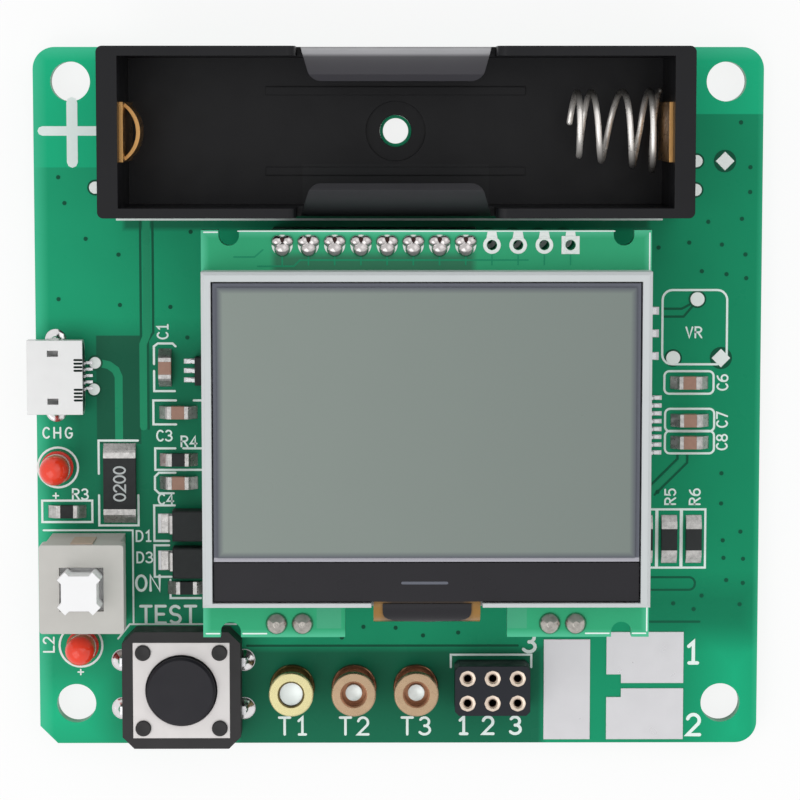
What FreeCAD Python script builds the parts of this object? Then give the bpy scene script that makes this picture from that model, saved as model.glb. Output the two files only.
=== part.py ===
import FreeCAD
import Part
import math
import os

V = FreeCAD.Vector

# A bare-board component tester: a green circuit board with a cell holder, a plug-on graphic display,
# a test button, a latching power switch, a charging port and three kinds of test contacts.
# Lengths are in millimetres. The origin is the centre of the four corner holes, on the board's underside.
# +X runs to the right and +Y up the board as it is read, and +Z points out of the component side.

# Main board: the columns beside the display, and the row of test parts below it
LEFT_COLUMN = 17.53
RIGHT_COLUMN = 12.27
TEST_ROW = 13.25
BOARD_T = 1.6
BOARD_CORNER_R = 2.2
BOARD_CHAMFER = 1.8
HOLE_R = 2.0
HOLE_SIDE_MARGIN = 3.75
HOLE_TOP_MARGIN = 3.45
HOLE_LOW_MARGIN = 4.15
HOLE_CLEAR = 0.05
EMPTY_HOLE_R = 0.5

# Flat sides of the small round pieces that repeat
SMALL_SIDES = 8
WIRE_SIDES = 6

# Solder under the board and on the display board
SOLDER_H = 1.2
SOLDER_TIP_R = 0.35
PIN_PAD_R = 0.85
WIDE_PAD_R = 1.15
TOP_SOLDER_H = 0.8
TOP_SOLDER_R = 0.72

# Header pitch and pins
PITCH = 2.54
PIN_W = 0.64
TAIL_W = 0.5

# Cell holder
CELL_R = 7.25
HOLDER_L = 57.5
HOLDER_W = 16.5
HOLDER_H = 14.6
HOLDER_WALL = 0.95
HOLDER_END = 2.0
HOLDER_FLOOR = 1.2
HOLDER_X = -0.3
HOLDER_EDGE_GAP = 0.15
HOLDER_CORNER_R = 0.6
HOLDER_SCREW_R = 1.6
HOLDER_SINK_R = 3.0
HOLDER_SINK_DEPTH = 0.5
HOLDER_RAIL_L = 26.0
HOLDER_RAIL_W = 0.8
HOLDER_RAIL_H = 0.3
HOLDER_RAIL_Y = 4.0
EAR_ROOT = 18.6
EAR_TIP = 16.4
EAR_ANGLE = 48.0
EAR_CORNER_R = 1.4
EAR_SLOT = 0.4
EAR_WALL_R = 1.0

# Cell contacts
CONTACT_T = 0.4
CONTACT_W = 5.8
CONTACT_RISE = 4.4
CONTACT_TAIL_W = 2.6
CONTACT_PAD_X = 1.9
CONTACT_PAD_Y = 3.85
CONTACT_PAD_H = 0.9
LEAF_W = 5.6
LEAF_BOW = 1.5
LEAF_H = 4.6
SPRING_WIRE = 0.8
SPRING_BASE_R = 3.9
SPRING_TIP_R = 2.8
SPRING_CLOSE_PITCH = 1.3
SPRING_OPEN_PITCH = 3.1
SPRING_CLOSE_QUARTERS = 5
SPRING_OPEN_QUARTERS = 7
SPRING_SEAT_GAP = 0.1

# Display module
DISPLAY_GAP = 1.2
DISPLAY_T = 1.6
HEADER_WAYS = 12
HEADER_EMPTY = 4
HEADER_INSET = 1.45
SUPPORT_SPAN = 26.8
SUPPORT_INSET = 1.35
NOTCH_R = 1.0
NOTCH_DEPTH = 1.5
NOTCH_INSET = 2.7
RECESS_W = 15.9
RECESS_DEPTH = 4.1
SOCKET_W = 2.5
SOCKET_H = 8.5
SOCKET_ROOF = 1.0
CAVITY_X = 1.5
CAVITY_Y = 1.1
PLUG_H = 2.5
PIN_DEPTH = 6.0
GRIP_BASE_H = 1.2
GRIP_LEAF_T = 0.2
GRIP_W = 0.8
FRAME_W = 43.4
FRAME_H = 32.6
FRAME_T = 3.4
FRAME_SIDE_INSET = 0.15
FRAME_TOP_INSET = 3.87
FRAME_LOW_INSET = 3.43
FRAME_RIM = 0.95
FRAME_LOW_RIM = 0.45
FRAME_FLOOR = 1.3
FRAME_BEVEL = 0.3
GLASS_T = 0.9
GLASS_CLEAR = 0.15
LEDGE = 3.9
POLARISER_INSET = 0.4
POLARISER_T = 0.2
COVER_GAP = 0.1
DRIVER_W = 12.0
DRIVER_D = 1.1
DRIVER_H = 0.4
FLEX_W = 10.4
FLEX_T = 0.2
FLEX_X = 0.05
FLEX_TONGUE = 0.9
FLEX_BACK = 4.5
FLEX_SLOT_GAP = 0.2

# Surface chips
CHIP_STANDOFF = 0.1
CHIP_BEVEL = 0.12
MCU_BODY = 7.0
MCU_H = 1.0
MCU_LEADS = 8
MCU_PITCH = 0.8
MCU_LEAD_W = 0.35
MCU_REACH = 1.0
MCU_FOOT = 0.55
CHIP_LEAD_T = 0.15
REGULATOR_X = 3.5
REGULATOR_Y = 6.5
REGULATOR_H = 1.6
REGULATOR_PITCH = 2.3
REGULATOR_LEAD_W = 0.7
REGULATOR_TAB_W = 3.0
REGULATOR_REACH = 1.7
REGULATOR_FOOT = 0.9
BOOST_X = 1.6
BOOST_Y = 2.9
BOOST_H = 1.1
BOOST_PITCH = 0.95
BOOST_LEAD_W = 0.4
BOOST_REACH = 0.9
BOOST_FOOT = 0.5
CHARGER_X = 3.9
CHARGER_Y = 4.9
CHARGER_H = 1.5
CHARGER_PITCH = 1.27
CHARGER_LEAD_W = 0.42
CHARGER_REACH = 1.05
CHARGER_FOOT = 0.6
DIODE_X = 4.4
DIODE_Y = 3.1
DIODE_H = 2.2
DIODE_LEAD_W = 1.9
DIODE_REACH = 1.3
DIODE_FOOT = 0.8
INDUCTOR_R = 2.9
INDUCTOR_WAIST_R = 2.4
INDUCTOR_H = 4.5
INDUCTOR_FLANGE = 1.0
CRYSTAL_L = 11.2
CRYSTAL_W = 4.6
CRYSTAL_H = 3.5
CRYSTAL_RIM = 0.4
CRYSTAL_RIM_H = 0.6

# Chip resistors and capacitors: length, width, height, and the metal end's length
CHIP_L = 2.1
CHIP_W = 1.3
CHIP_H = 0.9
CHIP_END = 0.4
LONG_CHIP_L = 3.2
LONG_CHIP_W = 1.6
LONG_CHIP_H = 0.6
LONG_CHIP_END = 0.5
SHUNT_L = 6.4
SHUNT_W = 3.3
SHUNT_H = 0.7
SHUNT_END = 0.6
SOLDER_FILLET = 0.9

# Micro-USB port
USB_W = 7.5
USB_H = 2.6
USB_L = 5.6
USB_SHEET = 0.3
USB_LOW_CHAMFER = 0.9
USB_OVERHANG = 0.65
USB_UP = 37.9
USB_FRONT_LEG = 2.65
USB_REAR_LEG = 5.15
USB_REAR_LEG_Y = 2.44
USB_LEG_L = 0.9
USB_LEG_T = 0.4
USB_SLOT_IN = 2.6
USB_SLOT_Y = 2.42
USB_SLOT_L = 1.1
USB_SLOT_W = 0.6
USB_TONGUE_W = 4.0
USB_TONGUE_T = 0.6
USB_TONGUE_BACK = 1.2
USB_TONGUE_INSET = 0.9
USB_CONTACTS = 5
USB_PITCH = 0.65
USB_CONTACT_W = 0.3
USB_CONTACT_T = 0.15
USB_TAIL = 0.8

# Indicator lamps
LED_R = 1.5
LED_FLANGE_R = 1.65
LED_FLANGE_H = 1.0
LED_H = 5.2
LED_FLAT = 1.55
CHARGE_LED_IN = 2.1
CHARGE_LED_UP = 28.6
POWER_LED_IN = 4.5
POWER_LED_UP = 10.25

# Power switch
SWITCH_X = 8.4
SWITCH_Y = 8.9
SWITCH_H = 8.5
SWITCH_WALL = 0.9
SWITCH_ROOF = 1.0
SWITCH_CORNER_R = 0.3
SWITCH_CAP_H = 2.6
SWITCH_SIDE_STEP = 0.5
SWITCH_IN = 5.2
SWITCH_BUTTON_GAP = 0.71
SWITCH_PIN_X = 5.3
SWITCH_PIN_Y = 2.6
SWITCH_PIN_W = 0.6
SWITCH_BASE_H = 1.6
SWITCH_POST_H = 0.9
SWITCH_MOUTH = 4.4
SWITCH_STEM = 3.5
SWITCH_STEM_RISE = 2.6
SWITCH_EAR_L = 4.95
SWITCH_EAR_W = 1.1
SWITCH_CARRIAGE = 5.6
SWITCH_CARRIAGE_H = 2.0
SWITCH_PLAY = 0.05
SWITCH_SPRING_R = 1.5
SWITCH_SPRING_WIRE = 0.4

# Test button
BUTTON_W = 12.0
BUTTON_BASE_H = 3.5
BUTTON_CHAMFER = 1.2
BUTTON_SIDE_GAP = 8.47
BUTTON_EDGE_GAP = 0.14
BUTTON_PLATE_W = 9.8
BUTTON_PLATE_T = 0.3
BUTTON_MOUTH_R = 3.65
BUTTON_CAP_R = 3.5
BUTTON_TOP = 4.4
BUTTON_SKIRT_R = 3.85
BUTTON_SKIRT_H = 0.6
BUTTON_WELL_R = 4.1
BUTTON_WELL_FLOOR = 1.0
BUTTON_CAP_EDGE = 0.25
BUTTON_RIVET_SPAN = 7.75
BUTTON_RIVET_R = 0.5
BUTTON_RIVET_HEAD_R = 0.78
BUTTON_RIVET_HEAD_H = 0.22
BUTTON_PIN_X = 12.5
BUTTON_PIN_Y = 5.0
BUTTON_PIN_W = 0.9
BUTTON_PIN_T = 0.35
BUTTON_PIN_RISE = 1.4
BUTTON_PEG_Y = 9.0
BUTTON_PEG_R = 0.9
BUTTON_PEG_SHORT = 0.3
DOME_R = 3.2
DOME_FLAT_R = 1.2
DOME_RISE = 1.17
DOME_T = 0.12
DOME_WALL = 0.25

# Round test sockets
TEST_BUTTON_GAP = 4.89
TEST_PITCH = 6.33
TEST_UP = 5.89
TEST_H = 4.5
TEST_FLANGE_R = 2.25
TEST_FLANGE_H = 0.8
TEST_BARREL_R = 1.7
TEST_FOOT_R = 2.3
TEST_FOOT_H = 0.5
TEST_BORE_R = 1.2
TEST_BORE_DEPTH = 1.5
TEST_TAIL_R = 1.3
TEST_SOLDER_R = 2.2

# Test socket strip
STRIP_TEST_GAP = 1.64
STRIP_UP = 6.1
STRIP_COLS = 3
STRIP_ROWS = 2
STRIP_H = 3.8
STRIP_MARGIN = 1.27
STRIP_CHAMFER = 0.4
STRIP_BARREL_R = 0.85
STRIP_BORE_R = 0.4
STRIP_BORE_DEPTH = 2.6
STRIP_PAD_R = 0.8

# Flat test pads
TEST_PAD_T = 0.1
TEST_PAD_EDGE = 0.35
TALL_PAD_STRIP_GAP = 1.545
TALL_PAD_W = 4.75
TALL_PAD_H = 10.4
WIDE_PAD_TALL_GAP = 1.675
WIDE_PAD_W = 7.9
WIDE_PAD_H = 5.3
WIDE_PAD_GAP = 0.55
WIDE_PAD_NOTCH_X = 1.5
WIDE_PAD_NOTCH_Y = 0.9

# Chips beside and under the display: in from a side of the board or display, up from the display's lower edge
MCU_IN = 14.75
MCU_UP = 19.55
CRYSTAL_MCU_GAP = 13.37
REGULATOR_IN = 14.1
REGULATOR_MCU_GAP = 9.35
BOOST_OUT = 0.6
BOOST_UP = 25.15
CHARGER_IN = 6.5
CHARGER_UP = 17.9
INDUCTOR_UP = 26.9
DIODE_OUT = 1.5
DIODE_UPS = (9.5, 5.7)
LONG_RESISTOR_INS = (6.65, 9.15, 11.65)
LONG_RESISTOR_UP = 7.85
SPARE_HOLE_IN = 23.55
SPARE_HOLE_UPS = (11.75, 6.6)
LEFT_CAPACITORS = ((4.45, 25.45, 1), (3.15, 20.9, 0), (3.15, 13.7, 0))
RIGHT_CAPACITORS = ((7.25, 23.9, 0), (7.15, 20.05, 0), (7.15, 17.8, 0))
LEFT_RESISTORS = ((3.15, 16.05, 0), (2.4, 2.9, 0))

# Parts of the left edge: in from the board's side, and up from its lower edge
SHUNT_IN = 8.4
SHUNT_UP = 26.9
EDGE_RESISTOR_IN = 3.0
EDGE_RESISTOR_UP = 24.0

# Values worked out from the driving dimensions
DISPLAY_W = FRAME_W + 2 * FRAME_SIDE_INSET
DISPLAY_H = FRAME_TOP_INSET + FRAME_H + FRAME_LOW_INSET
BOARD_W = LEFT_COLUMN + DISPLAY_W + RIGHT_COLUMN
BOARD_H = HOLDER_EDGE_GAP + HOLDER_W + DISPLAY_GAP + DISPLAY_H + TEST_ROW
HOLE_SPACING_X = BOARD_W - 2 * HOLE_SIDE_MARGIN
HOLE_SPACING_Y = BOARD_H - HOLE_TOP_MARGIN - HOLE_LOW_MARGIN
LEFT = -BOARD_W / 2
RIGHT = BOARD_W / 2
TOP = HOLE_SPACING_Y / 2 + HOLE_TOP_MARGIN
BOTTOM = TOP - BOARD_H
DECK = BOARD_T
HOLDER_Y = TOP - HOLDER_EDGE_GAP - HOLDER_W / 2
BAY_FLOOR = DECK + HOLDER_FLOOR
CELL_Z = BAY_FLOOR + CELL_R
BAY_LEFT = HOLDER_X - HOLDER_L / 2 + HOLDER_END
BAY_RIGHT = HOLDER_X + HOLDER_L / 2 - HOLDER_END
DISPLAY_LEFT = LEFT + LEFT_COLUMN
DISPLAY_RIGHT = DISPLAY_LEFT + DISPLAY_W
DISPLAY_X = (DISPLAY_LEFT + DISPLAY_RIGHT) / 2
DISPLAY_BOTTOM = BOTTOM + TEST_ROW
DISPLAY_TOP = DISPLAY_BOTTOM + DISPLAY_H
PLUG_Z = DECK + SOCKET_H
DISPLAY_Z = PLUG_Z + PLUG_H
DISPLAY_DECK = DISPLAY_Z + DISPLAY_T
HEADER_Y = DISPLAY_TOP - HEADER_INSET
SUPPORT_Y = DISPLAY_BOTTOM + SUPPORT_INSET
FRAME_TOP = DISPLAY_TOP - FRAME_TOP_INSET
FRAME_BOTTOM = FRAME_TOP - FRAME_H
GLASS_Z = DISPLAY_DECK + FRAME_FLOOR
GLASS_TOP = FRAME_TOP - FRAME_RIM - GLASS_CLEAR
GLASS_BOTTOM = FRAME_BOTTOM + FRAME_LOW_RIM + GLASS_CLEAR
GLASS_W = FRAME_W - 2 * (FRAME_RIM + GLASS_CLEAR)
FRONT_GLASS_BOTTOM = GLASS_BOTTOM + LEDGE
USB_Y = BOTTOM + USB_UP
USB_MOUTH = LEFT - USB_OVERHANG
BUTTON_X = LEFT + BUTTON_SIDE_GAP + BUTTON_PIN_X / 2
BUTTON_Y = BOTTOM + BUTTON_EDGE_GAP + BUTTON_W / 2
SWITCH_PLACE_Y = BUTTON_Y + BUTTON_W / 2 + SWITCH_BUTTON_GAP + SWITCH_Y / 2
TEST_X = BUTTON_X + BUTTON_PIN_X / 2 + TEST_BUTTON_GAP
STRIP_W = PITCH * (STRIP_COLS - 1) + 2 * STRIP_MARGIN
STRIP_D = PITCH * (STRIP_ROWS - 1) + 2 * STRIP_MARGIN
STRIP_X = TEST_X + 2 * TEST_PITCH + TEST_FOOT_R + STRIP_TEST_GAP + STRIP_W / 2
TALL_PAD_X = STRIP_X + STRIP_W / 2 + TALL_PAD_STRIP_GAP + TALL_PAD_W / 2
WIDE_PAD_X = TALL_PAD_X + TALL_PAD_W / 2 + WIDE_PAD_TALL_GAP + WIDE_PAD_W / 2

# Places of the surface parts: (x, y), with quarter turns for the chip resistors and capacitors
MCU_PLACE = (RIGHT - MCU_IN, DISPLAY_BOTTOM + MCU_UP)
CRYSTAL_PLACE = (MCU_PLACE[0] - CRYSTAL_MCU_GAP, MCU_PLACE[1])
REGULATOR_PLACE = (RIGHT - REGULATOR_IN, MCU_PLACE[1] + REGULATOR_MCU_GAP)
BOOST_PLACE = (DISPLAY_LEFT - BOOST_OUT, DISPLAY_BOTTOM + BOOST_UP)
CHARGER_PLACE = (DISPLAY_LEFT + CHARGER_IN, DISPLAY_BOTTOM + CHARGER_UP)
INDUCTOR_PLACE = (DISPLAY_LEFT + CHARGER_IN, DISPLAY_BOTTOM + INDUCTOR_UP)
DIODE_PLACES = [(DISPLAY_LEFT - DIODE_OUT, DISPLAY_BOTTOM + up) for up in DIODE_UPS]
SHUNT_PLACE = (LEFT + SHUNT_IN, BOTTOM + SHUNT_UP, 1)
CAPACITOR_PLACES = [(DISPLAY_LEFT - out, DISPLAY_BOTTOM + up, turns) for out, up, turns in LEFT_CAPACITORS]
CAPACITOR_PLACES += [(RIGHT - inset, DISPLAY_BOTTOM + up, turns) for inset, up, turns in RIGHT_CAPACITORS]
RESISTOR_PLACES = [(DISPLAY_LEFT - out, DISPLAY_BOTTOM + up, turns) for out, up, turns in LEFT_RESISTORS]
RESISTOR_PLACES.append((LEFT + EDGE_RESISTOR_IN, BOTTOM + EDGE_RESISTOR_UP, 0))
LONG_RESISTOR_PLACES = [(RIGHT - inset, DISPLAY_BOTTOM + LONG_RESISTOR_UP, 1) for inset in LONG_RESISTOR_INS]
SPARE_HOLES = [(RIGHT - SPARE_HOLE_IN, DISPLAY_BOTTOM + up) for up in SPARE_HOLE_UPS]

# What the leads add to the board: their holes, and the solder on their ends
board_holes = []
display_holes = []
solder = []


def block(cx, cy, z, dx, dy, dz):
    """A box centred on (cx, cy) that stands on height z."""
    return Part.makeBox(dx, dy, dz, V(cx - dx / 2, cy - dy / 2, z))


def span(x0, x1, y0, y1, z0, z1):
    """A box between two corners."""
    return Part.makeBox(x1 - x0, y1 - y0, z1 - z0, V(x0, y0, z0))


def rod(cx, cy, z, radius, height):
    """An upright cylinder."""
    return Part.makeCylinder(radius, height, V(cx, cy, z))


def prism(outline, depth):
    """A closed outline of points, extruded along the vector depth."""
    return Part.Face(Part.makePolygon(outline + outline[:1])).extrude(depth)


def turned(cx, cy, profile):
    """A closed (radius, height) profile, revolved about the upright line through (cx, cy)."""
    outline = [V(cx + radius, cy, height) for radius, height in profile]
    face = Part.Face(Part.makePolygon(outline + outline[:1]))
    return face.revolve(V(cx, cy, 0), V(0, 0, 1), 360)


def ring(cx, cy, z, radius):
    """The corners of a small flat-sided ring."""
    turn = 2 * math.pi / SMALL_SIDES
    return [V(cx + radius * math.cos(turn * side), cy + radius * math.sin(turn * side), z)
            for side in range(SMALL_SIDES)]


def peg(cx, cy, z, radius, height):
    """A small upright rod with flat sides."""
    return prism(ring(cx, cy, z, radius), V(0, 0, height))


def taper(cx, cy, z, low_r, high_r, height):
    """A small upright cone with flat sides, cut off at its tip."""
    low = ring(cx, cy, z, low_r)
    high = ring(cx, cy, z + height, high_r)
    outlines = [low, high]
    for side in range(SMALL_SIDES):
        outlines.append([low[side - 1], low[side], high[side], high[side - 1]])
    faces = [Part.Face(Part.makePolygon(outline + outline[:1])) for outline in outlines]
    return Part.makeSolid(Part.makeShell(faces))


def joined(solids):
    """One solid out of solids that touch or overlap."""
    return solids[0].multiFuse(solids[1:]).removeSplitter().Solids[0]


def upright_edges(solid):
    """The straight edges that run along Z."""
    found = []
    for edge in solid.Edges:
        ends = edge.Vertexes
        if len(ends) == 2 and abs(abs(ends[1].Z - ends[0].Z) - edge.Length) < 1e-6:
            found.append(edge)
    return found


def edges_at(solid, height):
    """The edges that lie flat at one height."""
    return [edge for edge in solid.Edges if all(abs(end.Z - height) < 1e-6 for end in edge.Vertexes)]


def quarter_turned(solid, x, y, turns):
    """A copy turned about the origin's upright line by quarter turns, then carried to (x, y)."""
    copy = solid.copy()
    copy.rotate(V(0, 0, 0), V(0, 0, 1), 90 * turns)
    copy.translate(V(x, y, 0))
    return copy


def save(node, solids):
    """Writes one node: a solid, or a group of separate solids."""
    shape = solids[0] if len(solids) == 1 else Part.makeCompound(solids)
    shape.exportStep("parts/" + node + ".step")


def solder_cone(x, y, pad_r):
    """The solder under a lead that ends flush with the board's underside."""
    solder.append(taper(x, y, -SOLDER_H, SOLDER_TIP_R, pad_r, SOLDER_H))


def lead(x, y, dx, dy, top, pad_r):
    """A lead through the board, with its hole and its solder."""
    board_holes.append(block(x, y, 0, dx, dy, BOARD_T))
    solder_cone(x, y, pad_r)
    return block(x, y, 0, dx, dy, top)


def ear(side):
    """One sprung ear of the cell holder, wrapped round the cell from the wall's mid height."""
    outer = HOLDER_W / 2
    inner = outer - HOLDER_WALL
    root_x = HOLDER_X - EAR_ROOT / 2
    tip = math.radians(EAR_ANGLE)

    def at(radius, angle):
        return V(root_x, HOLDER_Y + side * radius * math.cos(angle), CELL_Z + radius * math.sin(angle))

    edges = [
        Part.Arc(at(outer, 0), at(outer, tip / 2), at(outer, tip)).toShape(),
        Part.makeLine(at(outer, tip), at(inner, tip)),
        Part.Arc(at(inner, tip), at(inner, tip / 2), at(inner, 0)).toShape(),
        Part.makeLine(at(inner, 0), at(outer, 0)),
    ]
    band = Part.Face(Part.Wire(edges)).extrude(V(EAR_ROOT, 0, 0))
    tip_y = HOLDER_Y + side * inner * math.cos(tip)
    root_y = HOLDER_Y + side * outer
    plan = prism([
        V(HOLDER_X - EAR_ROOT / 2, root_y, CELL_Z),
        V(HOLDER_X - EAR_TIP / 2, tip_y, CELL_Z),
        V(HOLDER_X + EAR_TIP / 2, tip_y, CELL_Z),
        V(HOLDER_X + EAR_ROOT / 2, root_y, CELL_Z),
    ], V(0, 0, HOLDER_W))
    tip_edges = [edge for edge in upright_edges(plan) if abs(edge.Vertexes[0].Y - tip_y) < 1e-6]
    return band.common(plan.makeFillet(EAR_CORNER_R, tip_edges))


def cell_holder():
    """The moulded holder: floor, thick ends, thin side walls and two ears, with the contacts' slots."""
    shell = block(HOLDER_X, HOLDER_Y, DECK, HOLDER_L, HOLDER_W, HOLDER_H)
    shell = shell.makeFillet(HOLDER_CORNER_R, upright_edges(shell))
    bay_w = HOLDER_W - 2 * HOLDER_WALL
    shell = shell.cut(span(BAY_LEFT, BAY_RIGHT, HOLDER_Y - bay_w / 2, HOLDER_Y + bay_w / 2,
                           BAY_FLOOR, DECK + 2 * HOLDER_H))
    window = EAR_ROOT + 2 * EAR_SLOT
    shell = shell.cut(block(HOLDER_X, HOLDER_Y, CELL_Z, window, 2 * HOLDER_W, HOLDER_H))
    rim = DECK + HOLDER_H
    corners = [edge for edge in edges_at(shell, rim)
               if all(abs(abs(end.X - HOLDER_X) - window / 2) < 1e-6 for end in edge.Vertexes)]
    shell = shell.makeFillet(EAR_WALL_R, corners)
    rails = [block(HOLDER_X, HOLDER_Y + side * HOLDER_RAIL_Y, BAY_FLOOR, HOLDER_RAIL_L, HOLDER_RAIL_W,
                   HOLDER_RAIL_H) for side in (-1, 1)]
    shell = joined([shell, ear(1), ear(-1)] + rails)
    screw = rod(HOLDER_X, HOLDER_Y, DECK, HOLDER_SCREW_R, HOLDER_FLOOR)
    sink = rod(HOLDER_X, HOLDER_Y, BAY_FLOOR - HOLDER_SINK_DEPTH, HOLDER_SINK_R, HOLDER_SINK_DEPTH)
    board_holes.append(rod(HOLDER_X, HOLDER_Y, 0, HOLDER_SCREW_R, BOARD_T))
    slots = [contact_tail(BAY_LEFT + CONTACT_T / 2), contact_tail(BAY_RIGHT - CONTACT_T / 2)]
    return shell.cut([screw, sink] + slots)


def contact_tail(x):
    """The tail of a cell contact, from the bay's floor to the board's underside."""
    return block(x, HOLDER_Y, 0, CONTACT_T, CONTACT_TAIL_W, BAY_FLOOR)


def contact_plate(x):
    """A cell contact's upright plate and its tail, with the tail's hole and its flat solder pad."""
    board_holes.append(block(x, HOLDER_Y, 0, CONTACT_T, CONTACT_TAIL_W, BOARD_T))
    half_y = CONTACT_PAD_Y / 2
    taper = CONTACT_PAD_H / 2
    solder.append(prism([
        V(x - CONTACT_PAD_X / 2, HOLDER_Y - half_y, 0),
        V(x - CONTACT_PAD_X / 2, HOLDER_Y + half_y, 0),
        V(x - CONTACT_PAD_X / 2, HOLDER_Y + half_y - taper, -CONTACT_PAD_H),
        V(x - CONTACT_PAD_X / 2, HOLDER_Y - half_y + taper, -CONTACT_PAD_H),
    ], V(CONTACT_PAD_X, 0, 0)))
    height = CELL_Z + CONTACT_RISE - BAY_FLOOR
    return [block(x, HOLDER_Y, BAY_FLOOR, CONTACT_T, CONTACT_W, height), contact_tail(x)]


def positive_contact():
    """The plate at the cell's button end, with a leaf bowed out of it."""
    face = BAY_LEFT + CONTACT_T
    z = CELL_Z - LEAF_H / 2
    half = LEAF_W / 2
    edges = [
        Part.Arc(V(face, HOLDER_Y - half, z), V(face + LEAF_BOW, HOLDER_Y, z),
                 V(face, HOLDER_Y + half, z)).toShape(),
        Part.makeLine(V(face, HOLDER_Y + half, z), V(face, HOLDER_Y + half - CONTACT_T, z)),
        Part.Arc(V(face, HOLDER_Y + half - CONTACT_T, z), V(face + LEAF_BOW - CONTACT_T, HOLDER_Y, z),
                 V(face, HOLDER_Y - half + CONTACT_T, z)).toShape(),
        Part.makeLine(V(face, HOLDER_Y - half + CONTACT_T, z), V(face, HOLDER_Y - half, z)),
    ]
    leaf = Part.Face(Part.Wire(edges)).extrude(V(0, 0, LEAF_H))
    return joined(contact_plate(BAY_LEFT + CONTACT_T / 2) + [leaf])


def negative_contact():
    """The plate behind the spring."""
    return joined(contact_plate(BAY_RIGHT - CONTACT_T / 2))


def spring_stations():
    """Points and tangents at each quarter turn of the conical spring, from its seat to its tip."""
    closed = [SPRING_CLOSE_PITCH / 4] * SPRING_CLOSE_QUARTERS
    steps = closed + [SPRING_OPEN_PITCH / 4] * SPRING_OPEN_QUARTERS + closed
    seat = BAY_RIGHT - CONTACT_T - SPRING_SEAT_GAP - SPRING_WIRE / 2
    narrowing = (SPRING_BASE_R - SPRING_TIP_R) / len(steps)
    stations = []
    x = seat
    for index in range(len(steps) + 1):
        angle = math.pi / 2 * index
        radius = SPRING_BASE_R - narrowing * index
        around = steps[max(index - 1, 0):index + 1]
        forward = sum(around) / len(around)
        point = V(x, HOLDER_Y + radius * math.cos(angle), CELL_Z + radius * math.sin(angle))
        turn = math.pi / 2
        tangent = V(-forward / turn,
                    -radius * math.sin(angle) - narrowing / turn * math.cos(angle),
                    radius * math.cos(angle) - narrowing / turn * math.sin(angle))
        stations.append((point, tangent.normalize()))
        if index < len(steps):
            x -= steps[index]
    return stations


def arc_between(start, corner, end):
    """The arc from start to end whose tangents meet at corner."""
    chord = end - start
    middle = (start + end) * 0.5
    lift = corner - middle
    slope = math.atan2(lift.Length, chord.Length / 2)
    top = middle + lift.normalize() * (chord.Length / 2 * math.tan(slope / 2))
    return Part.Arc(start, top, end).toShape()


def biarc(start, start_way, end, end_way):
    """Two arcs that leave start along start_way and reach end along end_way."""
    across = end - start
    ways = start_way + end_way
    a = 2 * (1 - start_way.dot(end_way))
    b = 2 * across.dot(ways)
    c = -across.dot(across)
    reach = (-b + math.sqrt(b * b - 4 * a * c)) / (2 * a)
    first = start + start_way * reach
    last = end - end_way * reach
    meet = (first + last) * 0.5
    return [arc_between(start, first, meet), arc_between(meet, last, end)]


def negative_spring():
    """The wound spring: one tube on biarcs of a quarter turn, with a straight end at each side."""
    stations = spring_stations()
    first, first_way = stations[0]
    last, last_way = stations[-1]
    start = first - first_way * SPRING_WIRE
    edges = [Part.makeLine(start, first)]
    for (point, way), (next_point, next_way) in zip(stations, stations[1:]):
        edges += biarc(point, way, next_point, next_way)
    edges.append(Part.makeLine(last, last + last_way * SPRING_WIRE))
    path = Part.Wire(edges)
    print("spring: least gap between turns", round(least_turn_gap(path), 3), "mm")
    return path.makePipeShell([wire_section(start, first_way)], True, False)


def wire_section(centre, way):
    """The spring wire's flat-sided section, square to the way it runs."""
    across = way.cross(V(1, 0, 0)).normalize()
    up = across.cross(way)
    corners = []
    for side in range(WIRE_SIDES):
        angle = 2 * math.pi * side / WIRE_SIDES
        corners.append(centre + (across * math.cos(angle) + up * math.sin(angle)) * (SPRING_WIRE / 2))
    return Part.makePolygon(corners + corners[:1])


def least_turn_gap(path):
    """The least gap of the spring's tube to itself, measured on points along its path."""
    points = path.discretize(Number=500)
    step = path.Length / 499
    apart = int(math.pi * SPRING_TIP_R / step)
    least = path.Length
    for index, point in enumerate(points):
        for other in points[index + apart:]:
            least = min(least, point.distanceToPoint(other))
    return least - SPRING_WIRE


def header_rows():
    """The pins of the display's three plugs: a long row and two pairs, as lists of (x, y)."""
    first = DISPLAY_X + PITCH * (HEADER_WAYS - 1) / 2
    row = [(first - PITCH * way, HEADER_Y) for way in range(HEADER_WAYS)]
    pairs = []
    for side in (-1, 1):
        middle = DISPLAY_X + side * SUPPORT_SPAN / 2
        pairs.append([(middle - PITCH / 2, SUPPORT_Y), (middle + PITCH / 2, SUPPORT_Y)])
    return row[:HEADER_EMPTY], [row[HEADER_EMPTY:]] + pairs


def header_block(row, z, height):
    """The plastic of one header, over a row of pins."""
    middle = sum(x for x, y in row) / len(row)
    return block(middle, row[0][1], z, PITCH * len(row), SOCKET_W, height)


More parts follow.
